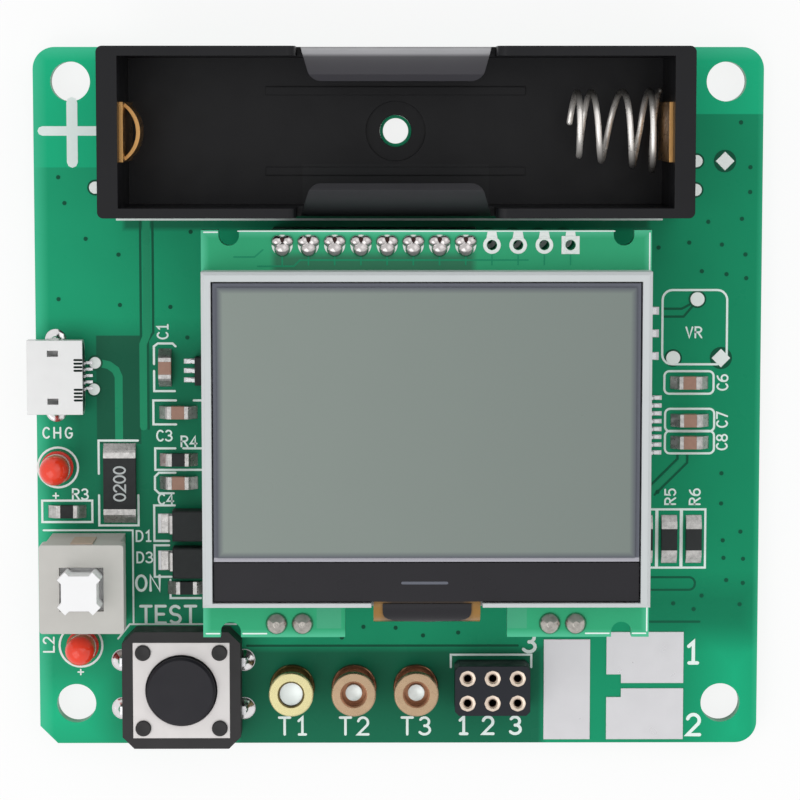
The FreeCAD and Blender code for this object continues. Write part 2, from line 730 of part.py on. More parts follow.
def display_headers(rows):
    """Sockets on the board and plugs under the display, with their contacts and pins."""
    sockets, contacts, plugs, pins = [], [], [], []
    cavity_h = SOCKET_H - SOCKET_ROOF
    grip_z = DECK + GRIP_BASE_H
    for row in rows:
        hollow = []
        bores = []
        for x, y in row:
            hollow.append(block(x, y, DECK, CAVITY_X, CAVITY_Y, cavity_h))
            hollow.append(block(x, y, DECK + cavity_h, PIN_W, PIN_W, SOCKET_ROOF))
            bores.append(block(x, y, PLUG_Z, PIN_W, PIN_W, PLUG_H))
            display_holes.append(block(x, y, DISPLAY_Z, PIN_W, PIN_W, DISPLAY_T))
            pin_z = PLUG_Z - PIN_DEPTH
            pins.append(block(x, y, pin_z, PIN_W, PIN_W, DISPLAY_DECK - pin_z))
            solder.append(taper(x, y, DISPLAY_DECK, TOP_SOLDER_R, SOLDER_TIP_R, TOP_SOLDER_H))
            grips = [block(x + side * (PIN_W + GRIP_LEAF_T) / 2, y, DECK, GRIP_LEAF_T, GRIP_W, cavity_h)
                     for side in (-1, 1)]
            foot = block(x, y, DECK, PIN_W, GRIP_W, grip_z - DECK)
            contacts.append(joined([lead(x, y, TAIL_W, TAIL_W, grip_z, PIN_PAD_R), foot] + grips))
        sockets.append(header_block(row, DECK, SOCKET_H).cut(hollow))
        plugs.append(header_block(row, PLUG_Z, PLUG_H).cut(bores))
    return sockets, contacts, plugs, pins


def display_board(empty):
    """The display's own board, with half-round notches, a recess for the flex and its header's holes."""
    plate = span(DISPLAY_LEFT, DISPLAY_RIGHT, DISPLAY_BOTTOM, DISPLAY_TOP, DISPLAY_Z, DISPLAY_DECK)
    tools = list(display_holes)
    for x in (DISPLAY_LEFT + NOTCH_INSET, DISPLAY_RIGHT - NOTCH_INSET):
        for edge_y, inward in ((DISPLAY_TOP, -1), (DISPLAY_BOTTOM, 1)):
            end_y = edge_y + inward * (NOTCH_DEPTH - NOTCH_R)
            tools.append(rod(x, end_y, DISPLAY_Z, NOTCH_R, DISPLAY_T))
            notch_y = (edge_y + end_y) / 2
            tools.append(block(x, notch_y, DISPLAY_Z, 2 * NOTCH_R, abs(edge_y - end_y), DISPLAY_T))
    recess_y = DISPLAY_BOTTOM + RECESS_DEPTH / 2
    tools.append(block(DISPLAY_X, recess_y, DISPLAY_Z, RECESS_W, RECESS_DEPTH, DISPLAY_T))
    for x, y in empty:
        tools.append(peg(x, y, DISPLAY_Z, EMPTY_HOLE_R, DISPLAY_T))
    return plate.cut(tools)


def display_frame():
    """The light tray: a bevelled frame with a floor, a pocket for the glass and a slot for the flex."""
    middle_y = (FRAME_TOP + FRAME_BOTTOM) / 2
    tray = block(DISPLAY_X, middle_y, DISPLAY_DECK, FRAME_W, FRAME_H, FRAME_T)
    tray = tray.makeChamfer(FRAME_BEVEL, edges_at(tray, DISPLAY_DECK + FRAME_T))
    pocket = span(DISPLAY_X - FRAME_W / 2 + FRAME_RIM, DISPLAY_X + FRAME_W / 2 - FRAME_RIM,
                  FRAME_BOTTOM + FRAME_LOW_RIM, FRAME_TOP - FRAME_RIM, GLASS_Z, DISPLAY_DECK + 2 * FRAME_T)
    slot = block(DISPLAY_X + FLEX_X, FRAME_BOTTOM, GLASS_Z + GLASS_T - FLEX_SLOT_GAP,
                 FLEX_W + 2 * FLEX_SLOT_GAP, 2 * FRAME_LOW_RIM, FRAME_T)
    return tray.cut([pocket, slot])


def glass_sheet(low_y, high_y, inset, z, thickness):
    """A sheet of the display's glass or film."""
    return span(DISPLAY_X - GLASS_W / 2 + inset, DISPLAY_X + GLASS_W / 2 - inset,
                low_y + inset, high_y - inset, z, z + thickness)


def display_flex():
    """The flexible lead: out of the glass ledge, round the tray's lower edge and under the display board."""
    top_z = GLASS_Z + GLASS_T + FLEX_T
    low_z = DISPLAY_Z - FLEX_T
    outer = (top_z - low_z) / 2
    inner = outer - FLEX_T
    middle_z = (top_z + low_z) / 2
    bend_y = FRAME_BOTTOM + FRAME_LOW_RIM - GLASS_CLEAR
    x = DISPLAY_X + FLEX_X - FLEX_W / 2
    ledge_y = GLASS_BOTTOM + FLEX_TONGUE
    back_y = bend_y + FLEX_BACK
    edges = [
        Part.makeLine(V(x, ledge_y, top_z), V(x, bend_y, top_z)),
        Part.Arc(V(x, bend_y, top_z), V(x, bend_y - outer, middle_z), V(x, bend_y, low_z)).toShape(),
        Part.makeLine(V(x, bend_y, low_z), V(x, back_y, low_z)),
        Part.makeLine(V(x, back_y, low_z), V(x, back_y, low_z + FLEX_T)),
        Part.makeLine(V(x, back_y, low_z + FLEX_T), V(x, bend_y, low_z + FLEX_T)),
        Part.Arc(V(x, bend_y, low_z + FLEX_T), V(x, bend_y - inner, middle_z),
                 V(x, bend_y, top_z - FLEX_T)).toShape(),
        Part.makeLine(V(x, bend_y, top_z - FLEX_T), V(x, ledge_y, top_z - FLEX_T)),
        Part.makeLine(V(x, ledge_y, top_z - FLEX_T), V(x, ledge_y, top_z)),
    ]
    return Part.Face(Part.Wire(edges)).extrude(V(FLEX_W, 0, 0))


def ledge_cover(flex, chip):
    """The black cover on the glass ledge, over the driver chip and the flex's end."""
    bar = span(DISPLAY_X - GLASS_W / 2, DISPLAY_X + GLASS_W / 2, GLASS_BOTTOM, FRONT_GLASS_BOTTOM - COVER_GAP,
               GLASS_Z + GLASS_T, GLASS_Z + 2 * GLASS_T)
    return bar.cut([flex, chip])


def display_panel():
    """Glass, polariser, cover, driver chip and flex."""
    rear = glass_sheet(GLASS_BOTTOM, GLASS_TOP, 0, GLASS_Z, GLASS_T)
    front = glass_sheet(FRONT_GLASS_BOTTOM, GLASS_TOP, 0, GLASS_Z + GLASS_T, GLASS_T)
    film = glass_sheet(FRONT_GLASS_BOTTOM, GLASS_TOP, POLARISER_INSET, GLASS_Z + 2 * GLASS_T, POLARISER_T)
    flex = display_flex()
    ledge_middle = (GLASS_BOTTOM + FLEX_TONGUE + FRONT_GLASS_BOTTOM) / 2
    chip = block(DISPLAY_X + FLEX_X, ledge_middle, GLASS_Z + GLASS_T, DRIVER_W, DRIVER_D, DRIVER_H)
    save("display_rear_glass", [rear])
    save("display_front_glass", [front])
    save("display_polariser", [film])
    save("display_flex", [flex])
    save("display_driver_chip", [chip])
    save("display_ledge_cover", [ledge_cover(flex, chip)])


def gull_lead(width, reach, foot, rise):
    """A bent lead that leaves a chip's side along +X at height rise and ends in a flat foot on the board."""
    knee = (reach - foot) / 2
    top = rise + CHIP_LEAD_T
    outline = [
        (0, rise), (knee, rise), (reach - foot, 0), (reach, 0), (reach, CHIP_LEAD_T),
        (reach - foot + CHIP_LEAD_T / 2, CHIP_LEAD_T), (knee + CHIP_LEAD_T / 2, top), (0, top),
    ]
    return prism([V(x, -width / 2, DECK + z) for x, z in outline], V(0, width, 0))


def lead_row(bent, place, half, count, pitch, turns):
    """Bent leads along one side of a chip."""
    row = []
    for index in range(count):
        piece = bent.copy()
        piece.translate(V(half, (index - (count - 1) / 2) * pitch, 0))
        row.append(quarter_turned(piece, place[0], place[1], turns))
    return row


def chip_body(place, dx, dy, height):
    """A moulded chip body, bevelled round its top."""
    body = block(place[0], place[1], DECK + CHIP_STANDOFF, dx, dy, height)
    return body.makeChamfer(CHIP_BEVEL, edges_at(body, DECK + CHIP_STANDOFF + height))


def surface_chips():
    """Microcontroller, regulator, converter chip and charger chip, with their leads."""
    save("microcontroller_body", [chip_body(MCU_PLACE, MCU_BODY, MCU_BODY, MCU_H)])
    bent = gull_lead(MCU_LEAD_W, MCU_REACH, MCU_FOOT, MCU_H / 2)
    leads = []
    for turns in range(4):
        leads += lead_row(bent, MCU_PLACE, MCU_BODY / 2, MCU_LEADS, MCU_PITCH, turns)
    save("microcontroller_leads", leads)
    save("regulator_body", [chip_body(REGULATOR_PLACE, REGULATOR_X, REGULATOR_Y, REGULATOR_H)])
    bent = gull_lead(REGULATOR_LEAD_W, REGULATOR_REACH, REGULATOR_FOOT, REGULATOR_H / 2)
    leads = lead_row(bent, REGULATOR_PLACE, REGULATOR_X / 2, 3, REGULATOR_PITCH, 0)
    tab = gull_lead(REGULATOR_TAB_W, REGULATOR_REACH, REGULATOR_FOOT, REGULATOR_H / 2)
    leads += lead_row(tab, REGULATOR_PLACE, REGULATOR_X / 2, 1, REGULATOR_PITCH, 2)
    save("regulator_leads", leads)
    save("boost_chip_body", [chip_body(BOOST_PLACE, BOOST_X, BOOST_Y, BOOST_H)])
    bent = gull_lead(BOOST_LEAD_W, BOOST_REACH, BOOST_FOOT, BOOST_H / 2)
    leads = []
    for turns in (0, 2):
        leads += lead_row(bent, BOOST_PLACE, BOOST_X / 2, 3, BOOST_PITCH, turns)
    save("boost_chip_leads", leads)
    save("charger_chip_body", [chip_body(CHARGER_PLACE, CHARGER_X, CHARGER_Y, CHARGER_H)])
    bent = gull_lead(CHARGER_LEAD_W, CHARGER_REACH, CHARGER_FOOT, CHARGER_H / 2)
    leads = []
    for turns in (0, 2):
        leads += lead_row(bent, CHARGER_PLACE, CHARGER_X / 2, 4, CHARGER_PITCH, turns)
    save("charger_chip_leads", leads)


def diodes():
    """Two power diodes."""
    bodies = [chip_body(place, DIODE_X, DIODE_Y, DIODE_H) for place in DIODE_PLACES]
    bent = gull_lead(DIODE_LEAD_W, DIODE_REACH, DIODE_FOOT, DIODE_H / 2)
    leads = []
    for place in DIODE_PLACES:
        for turns in (0, 2):
            leads += lead_row(bent, place, DIODE_X / 2, 1, 0, turns)
    save("diode_bodies", bodies)
    save("diode_leads", leads)


def inductor():
    """The converter's drum inductor: two flanges and a wound waist."""
    x, y = INDUCTOR_PLACE
    top_flange_z = DECK + INDUCTOR_H - INDUCTOR_FLANGE
    save("power_inductor", [joined([
        peg(x, y, DECK, INDUCTOR_R, INDUCTOR_FLANGE),
        peg(x, y, DECK, INDUCTOR_WAIST_R, INDUCTOR_H),
        peg(x, y, top_flange_z, INDUCTOR_R, INDUCTOR_FLANGE),
    ])])


def crystal():
    """The oscillator crystal's long round-ended can, with its rolled foot."""
    x, y = CRYSTAL_PLACE
    foot = block(x, y, DECK, CRYSTAL_L, CRYSTAL_W, CRYSTAL_RIM_H)
    foot = foot.makeFillet(CRYSTAL_W / 2 * 0.98, upright_edges(foot))
    can_w = CRYSTAL_W - 2 * CRYSTAL_RIM
    can = block(x, y, DECK, CRYSTAL_L - 2 * CRYSTAL_RIM, can_w, CRYSTAL_H)
    can = can.makeFillet(can_w / 2 * 0.98, upright_edges(can))
    save("crystal", [joined([foot, can])])


def chip_part(place, length, width, height, end):
    """A chip resistor or capacitor: its body and two metal ends with their solder fillets."""
    body = block(0, 0, DECK, length - 2 * end, width, height)
    outline = [
        (length / 2 - end, 0), (length / 2 + SOLDER_FILLET, 0),
        (length / 2 + SOLDER_FILLET / 4, height * 0.8), (length / 2, height), (length / 2 - end, height),
    ]
    metal = prism([V(x, -width / 2, DECK + z) for x, z in outline], V(0, width, 0))
    x, y, turns = place
    ends = [quarter_turned(metal, x, y, turns), quarter_turned(metal, x, y, turns + 2)]
    return quarter_turned(body, x, y, turns), ends


def chip_parts():
    """Capacitors, resistors and the large shunt resistor."""
    capacitors, resistors, ends = [], [], []
    for place in CAPACITOR_PLACES:
        body, metal = chip_part(place, CHIP_L, CHIP_W, CHIP_H, CHIP_END)
        capacitors.append(body)
        ends += metal
    for place in RESISTOR_PLACES:
        body, metal = chip_part(place, CHIP_L, CHIP_W, LONG_CHIP_H, CHIP_END)
        resistors.append(body)
        ends += metal
    for place in LONG_RESISTOR_PLACES:
        body, metal = chip_part(place, LONG_CHIP_L, LONG_CHIP_W, LONG_CHIP_H, LONG_CHIP_END)
        resistors.append(body)
        ends += metal
    shunt, metal = chip_part(SHUNT_PLACE, SHUNT_L, SHUNT_W, SHUNT_H, SHUNT_END)
    save("chip_capacitor_bodies", capacitors)
    save("chip_resistor_bodies", resistors)
    save("shunt_resistor_body", [shunt])
    save("chip_ends", ends + metal)


def usb_section(x, inset, length):
    """A slice of the port's shell: flat on top, with its lower corners drawn in."""
    half = USB_W / 2 - inset
    low = DECK + inset
    high = DECK + USB_H - inset
    corner = USB_LOW_CHAMFER
    return prism([
        V(x, USB_Y - half + corner, low), V(x, USB_Y + half - corner, low), V(x, USB_Y + half, low + corner),
        V(x, USB_Y + half, high), V(x, USB_Y - half, high), V(x, USB_Y - half, low + corner),
    ], V(length, 0, 0))


def usb_port():
    """The charging port: folded shell with four legs, plastic tongue and five contacts."""
    back = USB_MOUTH + USB_L
    shell = usb_section(USB_MOUTH, 0, USB_L).cut(usb_section(USB_MOUTH, USB_SHEET, USB_L))
    legs = []
    slots = []
    for side in (-1, 1):
        front_y = USB_Y + side * (USB_W / 2 - USB_SHEET + USB_LEG_T / 2)
        leg_top = DECK + USB_H / 2
        legs.append(lead(USB_MOUTH + USB_FRONT_LEG, front_y, USB_LEG_L, USB_LEG_T, leg_top, WIDE_PAD_R))
        rear_y = USB_Y + side * USB_REAR_LEG_Y
        legs.append(lead(USB_MOUTH + USB_REAR_LEG, rear_y, USB_LEG_T, USB_LEG_L, DECK + USB_SHEET, PIN_PAD_R))
        slots.append(block(USB_MOUTH + USB_SLOT_IN, USB_Y + side * USB_SLOT_Y, DECK + USB_H / 2,
                           USB_SLOT_L, USB_SLOT_W, USB_H))
    save("usb_shell", [joined([shell] + legs).cut(slots)])
    tongue_z = DECK + USB_H / 2
    tongue = span(USB_MOUTH + USB_TONGUE_INSET, back, USB_Y - USB_TONGUE_W / 2, USB_Y + USB_TONGUE_W / 2,
                  tongue_z, tongue_z + USB_TONGUE_T)
    plug = usb_section(back - USB_TONGUE_BACK, USB_SHEET, USB_TONGUE_BACK)
    contacts = []
    low = tongue_z - USB_CONTACT_T
    for index in range(USB_CONTACTS):
        y = USB_Y + (index - (USB_CONTACTS - 1) / 2) * USB_PITCH - USB_CONTACT_W / 2
        outline = [
            (USB_MOUTH + 2 * USB_TONGUE_INSET, low), (back, low), (back, DECK), (back + USB_TAIL, DECK),
            (back + USB_TAIL, DECK + USB_CONTACT_T), (back + USB_CONTACT_T, DECK + USB_CONTACT_T),
            (back + USB_CONTACT_T, tongue_z), (USB_MOUTH + 2 * USB_TONGUE_INSET, tongue_z),
        ]
        contacts.append(prism([V(x, y, z) for x, z in outline], V(0, USB_CONTACT_W, 0)))
    save("usb_tongue", [joined([tongue, plug]).cut(contacts)])
    save("usb_contacts", contacts)


def led(node, x, y):
    """One lamp: a domed lens on a flange with a flat, and its two leads."""
    base = DECK
    shoulder = base + LED_FLANGE_H
    spring_line = base + LED_H - LED_R
    edges = [
        Part.makeLine(V(x, y, base), V(x + LED_R, y, base)),
        Part.makeLine(V(x + LED_R, y, base), V(x + LED_R, y, spring_line)),
        Part.Arc(V(x + LED_R, y, spring_line),
                 V(x + LED_R * math.sqrt(0.5), y, spring_line + LED_R * math.sqrt(0.5)),
                 V(x, y, spring_line + LED_R)).toShape(),
        Part.makeLine(V(x, y, spring_line + LED_R), V(x, y, base)),
    ]
    lens = Part.Face(Part.Wire(edges)).revolve(V(x, y, 0), V(0, 0, 1), 360)
    flat = span(x - LED_FLANGE_R, x + LED_FLANGE_R, y + LED_FLAT, y + 2 * LED_FLANGE_R, base, shoulder)
    flange = peg(x, y, base, LED_FLANGE_R, LED_FLANGE_H).cut(flat)
    save(node, [joined([lens, flange])])
    return [lead(x, y + side * PITCH / 2, TAIL_W, TAIL_W, DECK, PIN_PAD_R) for side in (-1, 1)]


def power_switch():
    """The latching switch: housing with a wide cap, base, contacts, plunger and return spring."""
    x = LEFT + SWITCH_IN
    y = SWITCH_PLACE_Y
    housing = block(x, y, DECK, SWITCH_X, SWITCH_Y, SWITCH_H)
    housing = housing.makeFillet(SWITCH_CORNER_R, upright_edges(housing))
    inside_x = SWITCH_X - 2 * SWITCH_WALL
    inside_y = SWITCH_Y - 2 * SWITCH_WALL
    inside_h = SWITCH_H - SWITCH_ROOF
    step_x = SWITCH_X - SWITCH_SIDE_STEP
    steps = [block(x + side * step_x / 2, y, DECK, SWITCH_SIDE_STEP, SWITCH_Y, SWITCH_H - SWITCH_CAP_H)
             for side in (-1, 1)]
    housing = housing.cut(steps + [
        block(x, y, DECK, inside_x, inside_y, inside_h),
        block(x, y, DECK + inside_h, SWITCH_MOUTH, SWITCH_MOUTH, SWITCH_ROOF),
    ])
    base_top = DECK + SWITCH_BASE_H
    base = block(x, y, DECK, inside_x, inside_y, SWITCH_BASE_H)
    contacts = []
    for side in (-1, 1):
        for row in (-1, 0, 1):
            pin_x = x + side * SWITCH_PIN_X / 2
            pin_y = y + row * SWITCH_PIN_Y
            post_top = base_top + SWITCH_POST_H
            contacts.append(lead(pin_x, pin_y, SWITCH_PIN_W, SWITCH_PIN_W, post_top, PIN_PAD_R))
    carriage_top = DECK + inside_h - SWITCH_PLAY
    carriage_z = carriage_top - SWITCH_CARRIAGE_H
    stem_h = DECK + SWITCH_H + SWITCH_STEM_RISE - carriage_top
    ears = []
    for angle in (45, -45):
        arm = block(0, 0, carriage_top, SWITCH_EAR_L, SWITCH_EAR_W, stem_h)
        arm.rotate(V(0, 0, 0), V(0, 0, 1), angle)
        arm.translate(V(x, y, 0))
        ears.append(arm)
    plunger = joined([
        block(x, y, carriage_z, SWITCH_CARRIAGE, SWITCH_CARRIAGE, SWITCH_CARRIAGE_H),
        block(x, y, carriage_top, SWITCH_STEM, SWITCH_STEM, stem_h),
    ] + ears)
    spring_h = carriage_z - base_top
    sleeve = peg(x, y, base_top, SWITCH_SPRING_R, spring_h)
    sleeve = sleeve.cut(peg(x, y, base_top, SWITCH_SPRING_R - SWITCH_SPRING_WIRE, spring_h))
    save("switch_housing", [housing])
    save("switch_base", [base.cut(contacts)])
    save("switch_contacts", contacts)
    save("switch_plunger", [plunger])
    save("switch_return_spring", [sleeve])


def button_terminal(x, y, side):
    """A button's lead: out of the base's side, then down through the board."""
    pin_x = x + side * BUTTON_PIN_X / 2
    inner_x = x + side * (BUTTON_W / 2)
    rise = DECK + BUTTON_PIN_RISE
    outer_x = pin_x + side * BUTTON_PIN_T / 2
    arm = span(min(inner_x, outer_x), max(inner_x, outer_x), y - BUTTON_PIN_W / 2, y + BUTTON_PIN_W / 2,
               rise - BUTTON_PIN_T, rise)
    return joined([lead(pin_x, y, BUTTON_PIN_T, BUTTON_PIN_W, rise, WIDE_PAD_R), arm])


def snap_dome(x, y, floor):
    """The thin domed spring that a button's plunger presses."""
    cap = taper(x, y, floor, DOME_R, DOME_FLAT_R, DOME_RISE)
    return cap.cut(taper(x, y, floor, DOME_R - DOME_WALL, DOME_FLAT_R - DOME_WALL, DOME_RISE - DOME_T))


def test_button():
    """The test button: square base with riveted metal cover, plunger, snap dome and four leads."""
    x = BUTTON_X
    y = BUTTON_Y
    top = DECK + BUTTON_BASE_H
    plate_z = top - BUTTON_PLATE_T
    well_floor = DECK + BUTTON_WELL_FLOOR
    base = block(x, y, DECK, BUTTON_W, BUTTON_W, BUTTON_BASE_H)
    base = base.makeChamfer(BUTTON_CHAMFER, upright_edges(base))
    base = base.cut([
        block(x, y, plate_z, BUTTON_PLATE_W, BUTTON_PLATE_W, BUTTON_PLATE_T),
        rod(x, y, well_floor, BUTTON_WELL_R, BUTTON_BASE_H),
    ])
    rivets = []
    posts = []
    for side_x in (-1, 1):
        for side_y in (-1, 1):
            rivet_x = x + side_x * BUTTON_RIVET_SPAN / 2
            rivet_y = y + side_y * BUTTON_RIVET_SPAN / 2
            posts.append(peg(rivet_x, rivet_y, plate_z, BUTTON_RIVET_R, BUTTON_PLATE_T))
            rivets.append(peg(rivet_x, rivet_y, top, BUTTON_RIVET_HEAD_R, BUTTON_RIVET_HEAD_H))
    pegs = []
    for side in (-1, 1):
        peg_y = y + side * BUTTON_PEG_Y / 2
        pegs.append(peg(x, peg_y, BUTTON_PEG_SHORT, BUTTON_PEG_R, DECK - BUTTON_PEG_SHORT))
        board_holes.append(peg(x, peg_y, 0, BUTTON_PEG_R + HOLE_CLEAR, BOARD_T))
    plate = block(x, y, plate_z, BUTTON_PLATE_W, BUTTON_PLATE_W, BUTTON_PLATE_T)
    plate = plate.cut([rod(x, y, plate_z, BUTTON_MOUTH_R, BUTTON_PLATE_T)] + posts)
    skirt_top = plate_z - HOLE_CLEAR
    cap_top = DECK + BUTTON_TOP
    plunger = turned(x, y, [
        (0, skirt_top - BUTTON_SKIRT_H), (BUTTON_SKIRT_R, skirt_top - BUTTON_SKIRT_H),
        (BUTTON_SKIRT_R, skirt_top), (BUTTON_CAP_R, skirt_top), (BUTTON_CAP_R, cap_top - BUTTON_CAP_EDGE),
        (BUTTON_CAP_R - BUTTON_CAP_EDGE, cap_top), (0, cap_top),
    ])
    terminals = [button_terminal(x, y + row * BUTTON_PIN_Y / 2, side) for side in (-1, 1) for row in (-1, 1)]
    save("button_base", [joined([base] + posts + rivets + pegs)])
    save("button_cover", [plate])
    save("button_plunger", [plunger])
    save("button_dome", [snap_dome(x, y, well_floor)])
    save("button_terminals", terminals)


def test_socket(index):
    """One turned brass test socket: footed, flanged, with a blind bore and a tail through the board."""
    x = TEST_X + TEST_PITCH * index
    y = BOTTOM + TEST_UP
    top = DECK + TEST_H
    foot_top = DECK + TEST_FOOT_H
    flange_z = top - TEST_FLANGE_H
    bore_end = top - TEST_BORE_DEPTH
    board_holes.append(peg(x, y, 0, TEST_TAIL_R + HOLE_CLEAR, BOARD_T))
    solder_cone(x, y, TEST_SOLDER_R)
    barrel = turned(x, y, [
        (0, DECK), (TEST_FOOT_R, DECK), (TEST_FOOT_R, foot_top), (TEST_BARREL_R, foot_top),
        (TEST_BARREL_R, flange_z), (TEST_FLANGE_R, flange_z), (TEST_FLANGE_R, top),
        (TEST_BORE_R, top), (TEST_BORE_R, bore_end), (0, bore_end),
    ])
    return joined([barrel, peg(x, y, 0, TEST_TAIL_R, DECK)])


def socket_strip():
    """The strip of small turned sockets for leaded parts."""
    y = BOTTOM + STRIP_UP
    top = DECK + STRIP_H
    body = block(STRIP_X, y, DECK, STRIP_W, STRIP_D, STRIP_H)
    body = body.makeChamfer(STRIP_CHAMFER, upright_edges(body))
    contacts = []
    sleeves = []
    for col in range(STRIP_COLS):
        for row in range(STRIP_ROWS):
            x = STRIP_X + (col - (STRIP_COLS - 1) / 2) * PITCH
            row_y = y + (row - (STRIP_ROWS - 1) / 2) * PITCH
            sleeve = peg(x, row_y, DECK, STRIP_BARREL_R, STRIP_H)
            bore = peg(x, row_y, top - STRIP_BORE_DEPTH, STRIP_BORE_R, STRIP_BORE_DEPTH)
            tail = lead(x, row_y, TAIL_W, TAIL_W, DECK, STRIP_PAD_R)
            sleeves.append(sleeve)
            contacts.append(joined([sleeve, tail]).cut(bore))
    save("socket_strip_body", [body.cut(sleeves)])
    save("socket_strip_contacts", contacts)


def test_pads():
    """Three flat tinned pads for surface parts: one tall, and two wide ones with facing notches."""
    low = BOTTOM + TEST_PAD_EDGE
    tall = block(TALL_PAD_X, low + TALL_PAD_H / 2, DECK, TALL_PAD_W, TALL_PAD_H, TEST_PAD_T)
    corner_x = WIDE_PAD_X - WIDE_PAD_W / 2
    upper_low = low + WIDE_PAD_H + WIDE_PAD_GAP
    wide = []
    for start_y, notch_y in ((low, low + WIDE_PAD_H - WIDE_PAD_NOTCH_Y), (upper_low, upper_low)):
        plate = block(WIDE_PAD_X, start_y + WIDE_PAD_H / 2, DECK, WIDE_PAD_W, WIDE_PAD_H, TEST_PAD_T)
        wide.append(plate.cut(span(corner_x, corner_x + WIDE_PAD_NOTCH_X, notch_y, notch_y + WIDE_PAD_NOTCH_Y,
                                   DECK, DECK + TEST_PAD_T)))
    return [tall] + wide


def main_board(empty):
    """The main board: three round corners and a cut one, screw holes, lead holes and empty places."""
    board = span(LEFT, RIGHT, BOTTOM, TOP, 0, BOARD_T)
    round_corners = [edge for edge in upright_edges(board) if max(edge.Vertexes[0].X, edge.Vertexes[0].Y) > 0]
    board = board.makeFillet(BOARD_CORNER_R, round_corners)
    cut_corner = [edge for edge in upright_edges(board)
                  if edge.Vertexes[0].X + edge.Vertexes[0].Y < LEFT + BOTTOM + 1e-6]
    board = board.makeChamfer(BOARD_CHAMFER, cut_corner)
    holes = [rod(side_x * HOLE_SPACING_X / 2, side_y * HOLE_SPACING_Y / 2, 0, HOLE_R, BOARD_T)
             for side_x in (-1, 1) for side_y in (-1, 1)]
    holes += [peg(x, y, 0, EMPTY_HOLE_R, BOARD_T) for x, y in empty + SPARE_HOLES]
    return board.cut(holes + board_holes)


def build():
    os.makedirs("parts", exist_ok=True)
    save("battery_holder", [cell_holder()])
    save("positive_contact", [positive_contact()])
    save("negative_contact", [negative_contact()])
    save("negative_spring", [negative_spring()])
    empty, rows = header_rows()
    sockets, contacts, plugs, pins = display_headers(rows)
    save("display_sockets", sockets)
    save("display_socket_contacts", contacts)
    save("display_plugs", plugs)
    save("display_pins", pins)
    save("display_board", [display_board(empty)])
    save("display_frame", [display_frame()])
    display_panel()
    surface_chips()
    diodes()
    inductor()
    crystal()
    chip_parts()
    usb_port()
    leads = led("charge_led", LEFT + CHARGE_LED_IN, BOTTOM + CHARGE_LED_UP)
    leads += led("power_led", LEFT + POWER_LED_IN, BOTTOM + POWER_LED_UP)
    save("led_leads", leads)
    power_switch()
    test_button()
    for index in range(3):
        save("test_socket_" + str(index + 1), [test_socket(index)])
    socket_strip()
    save("test_pads", test_pads())
    save("main_board", [main_board(empty)])
    save("solder_joints", solder)


build()
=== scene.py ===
"""Looks of a bare-board component tester: finishes, copper, print, solder, lamps, sockets and wound springs.

Sizes and places are in millimetres in the part's own frame, and become metres when a mesh is made.
"""
from math import cos, pi, radians, sin

import bmesh
import bpy
import numpy as np
from mathutils import Matrix, Vector


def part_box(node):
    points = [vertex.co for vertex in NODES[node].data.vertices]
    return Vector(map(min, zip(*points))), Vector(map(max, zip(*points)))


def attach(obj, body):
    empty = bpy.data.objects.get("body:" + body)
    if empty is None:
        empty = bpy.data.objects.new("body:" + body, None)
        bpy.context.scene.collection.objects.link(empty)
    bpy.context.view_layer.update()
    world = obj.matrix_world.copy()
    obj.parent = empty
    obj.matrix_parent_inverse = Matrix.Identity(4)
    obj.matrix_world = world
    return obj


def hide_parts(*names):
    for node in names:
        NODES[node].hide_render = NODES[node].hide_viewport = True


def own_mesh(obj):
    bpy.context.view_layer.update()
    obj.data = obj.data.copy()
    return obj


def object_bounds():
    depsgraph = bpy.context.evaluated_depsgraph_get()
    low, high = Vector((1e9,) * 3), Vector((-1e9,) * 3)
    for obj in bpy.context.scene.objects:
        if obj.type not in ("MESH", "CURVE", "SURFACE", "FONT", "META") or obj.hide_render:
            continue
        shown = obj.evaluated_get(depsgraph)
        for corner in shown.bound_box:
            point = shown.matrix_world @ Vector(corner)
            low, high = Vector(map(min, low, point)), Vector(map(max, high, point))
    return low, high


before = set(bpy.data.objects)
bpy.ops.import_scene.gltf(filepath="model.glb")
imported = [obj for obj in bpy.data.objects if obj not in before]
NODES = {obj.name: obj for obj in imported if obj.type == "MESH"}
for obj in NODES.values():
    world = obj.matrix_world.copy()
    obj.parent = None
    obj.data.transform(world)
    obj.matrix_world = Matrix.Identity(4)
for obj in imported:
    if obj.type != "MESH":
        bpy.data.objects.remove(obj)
cad_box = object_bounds()
MM = 0.001
TINY = 1e-6


def box(node):
    """A node's lowest and highest corners, in millimetres."""
    low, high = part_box(node)
    return low / MM, high / MM


BOARD_TOP = box("main_board")[1].z
PANEL_LOW, PANEL_HIGH = box("display_board")
PANEL_TOP = PANEL_HIGH.z
PITCH = 2.54
HOLE_R = 0.5


# Meshes

def belt(low, high):
    """The faces between two closed rows of points, given by their numbers."""
    count = len(low)
    quads = [(low[i], low[(i + 1) % count], high[(i + 1) % count], high[i]) for i in range(count)]
    return [tuple(dict.fromkeys(quad)) for quad in quads]


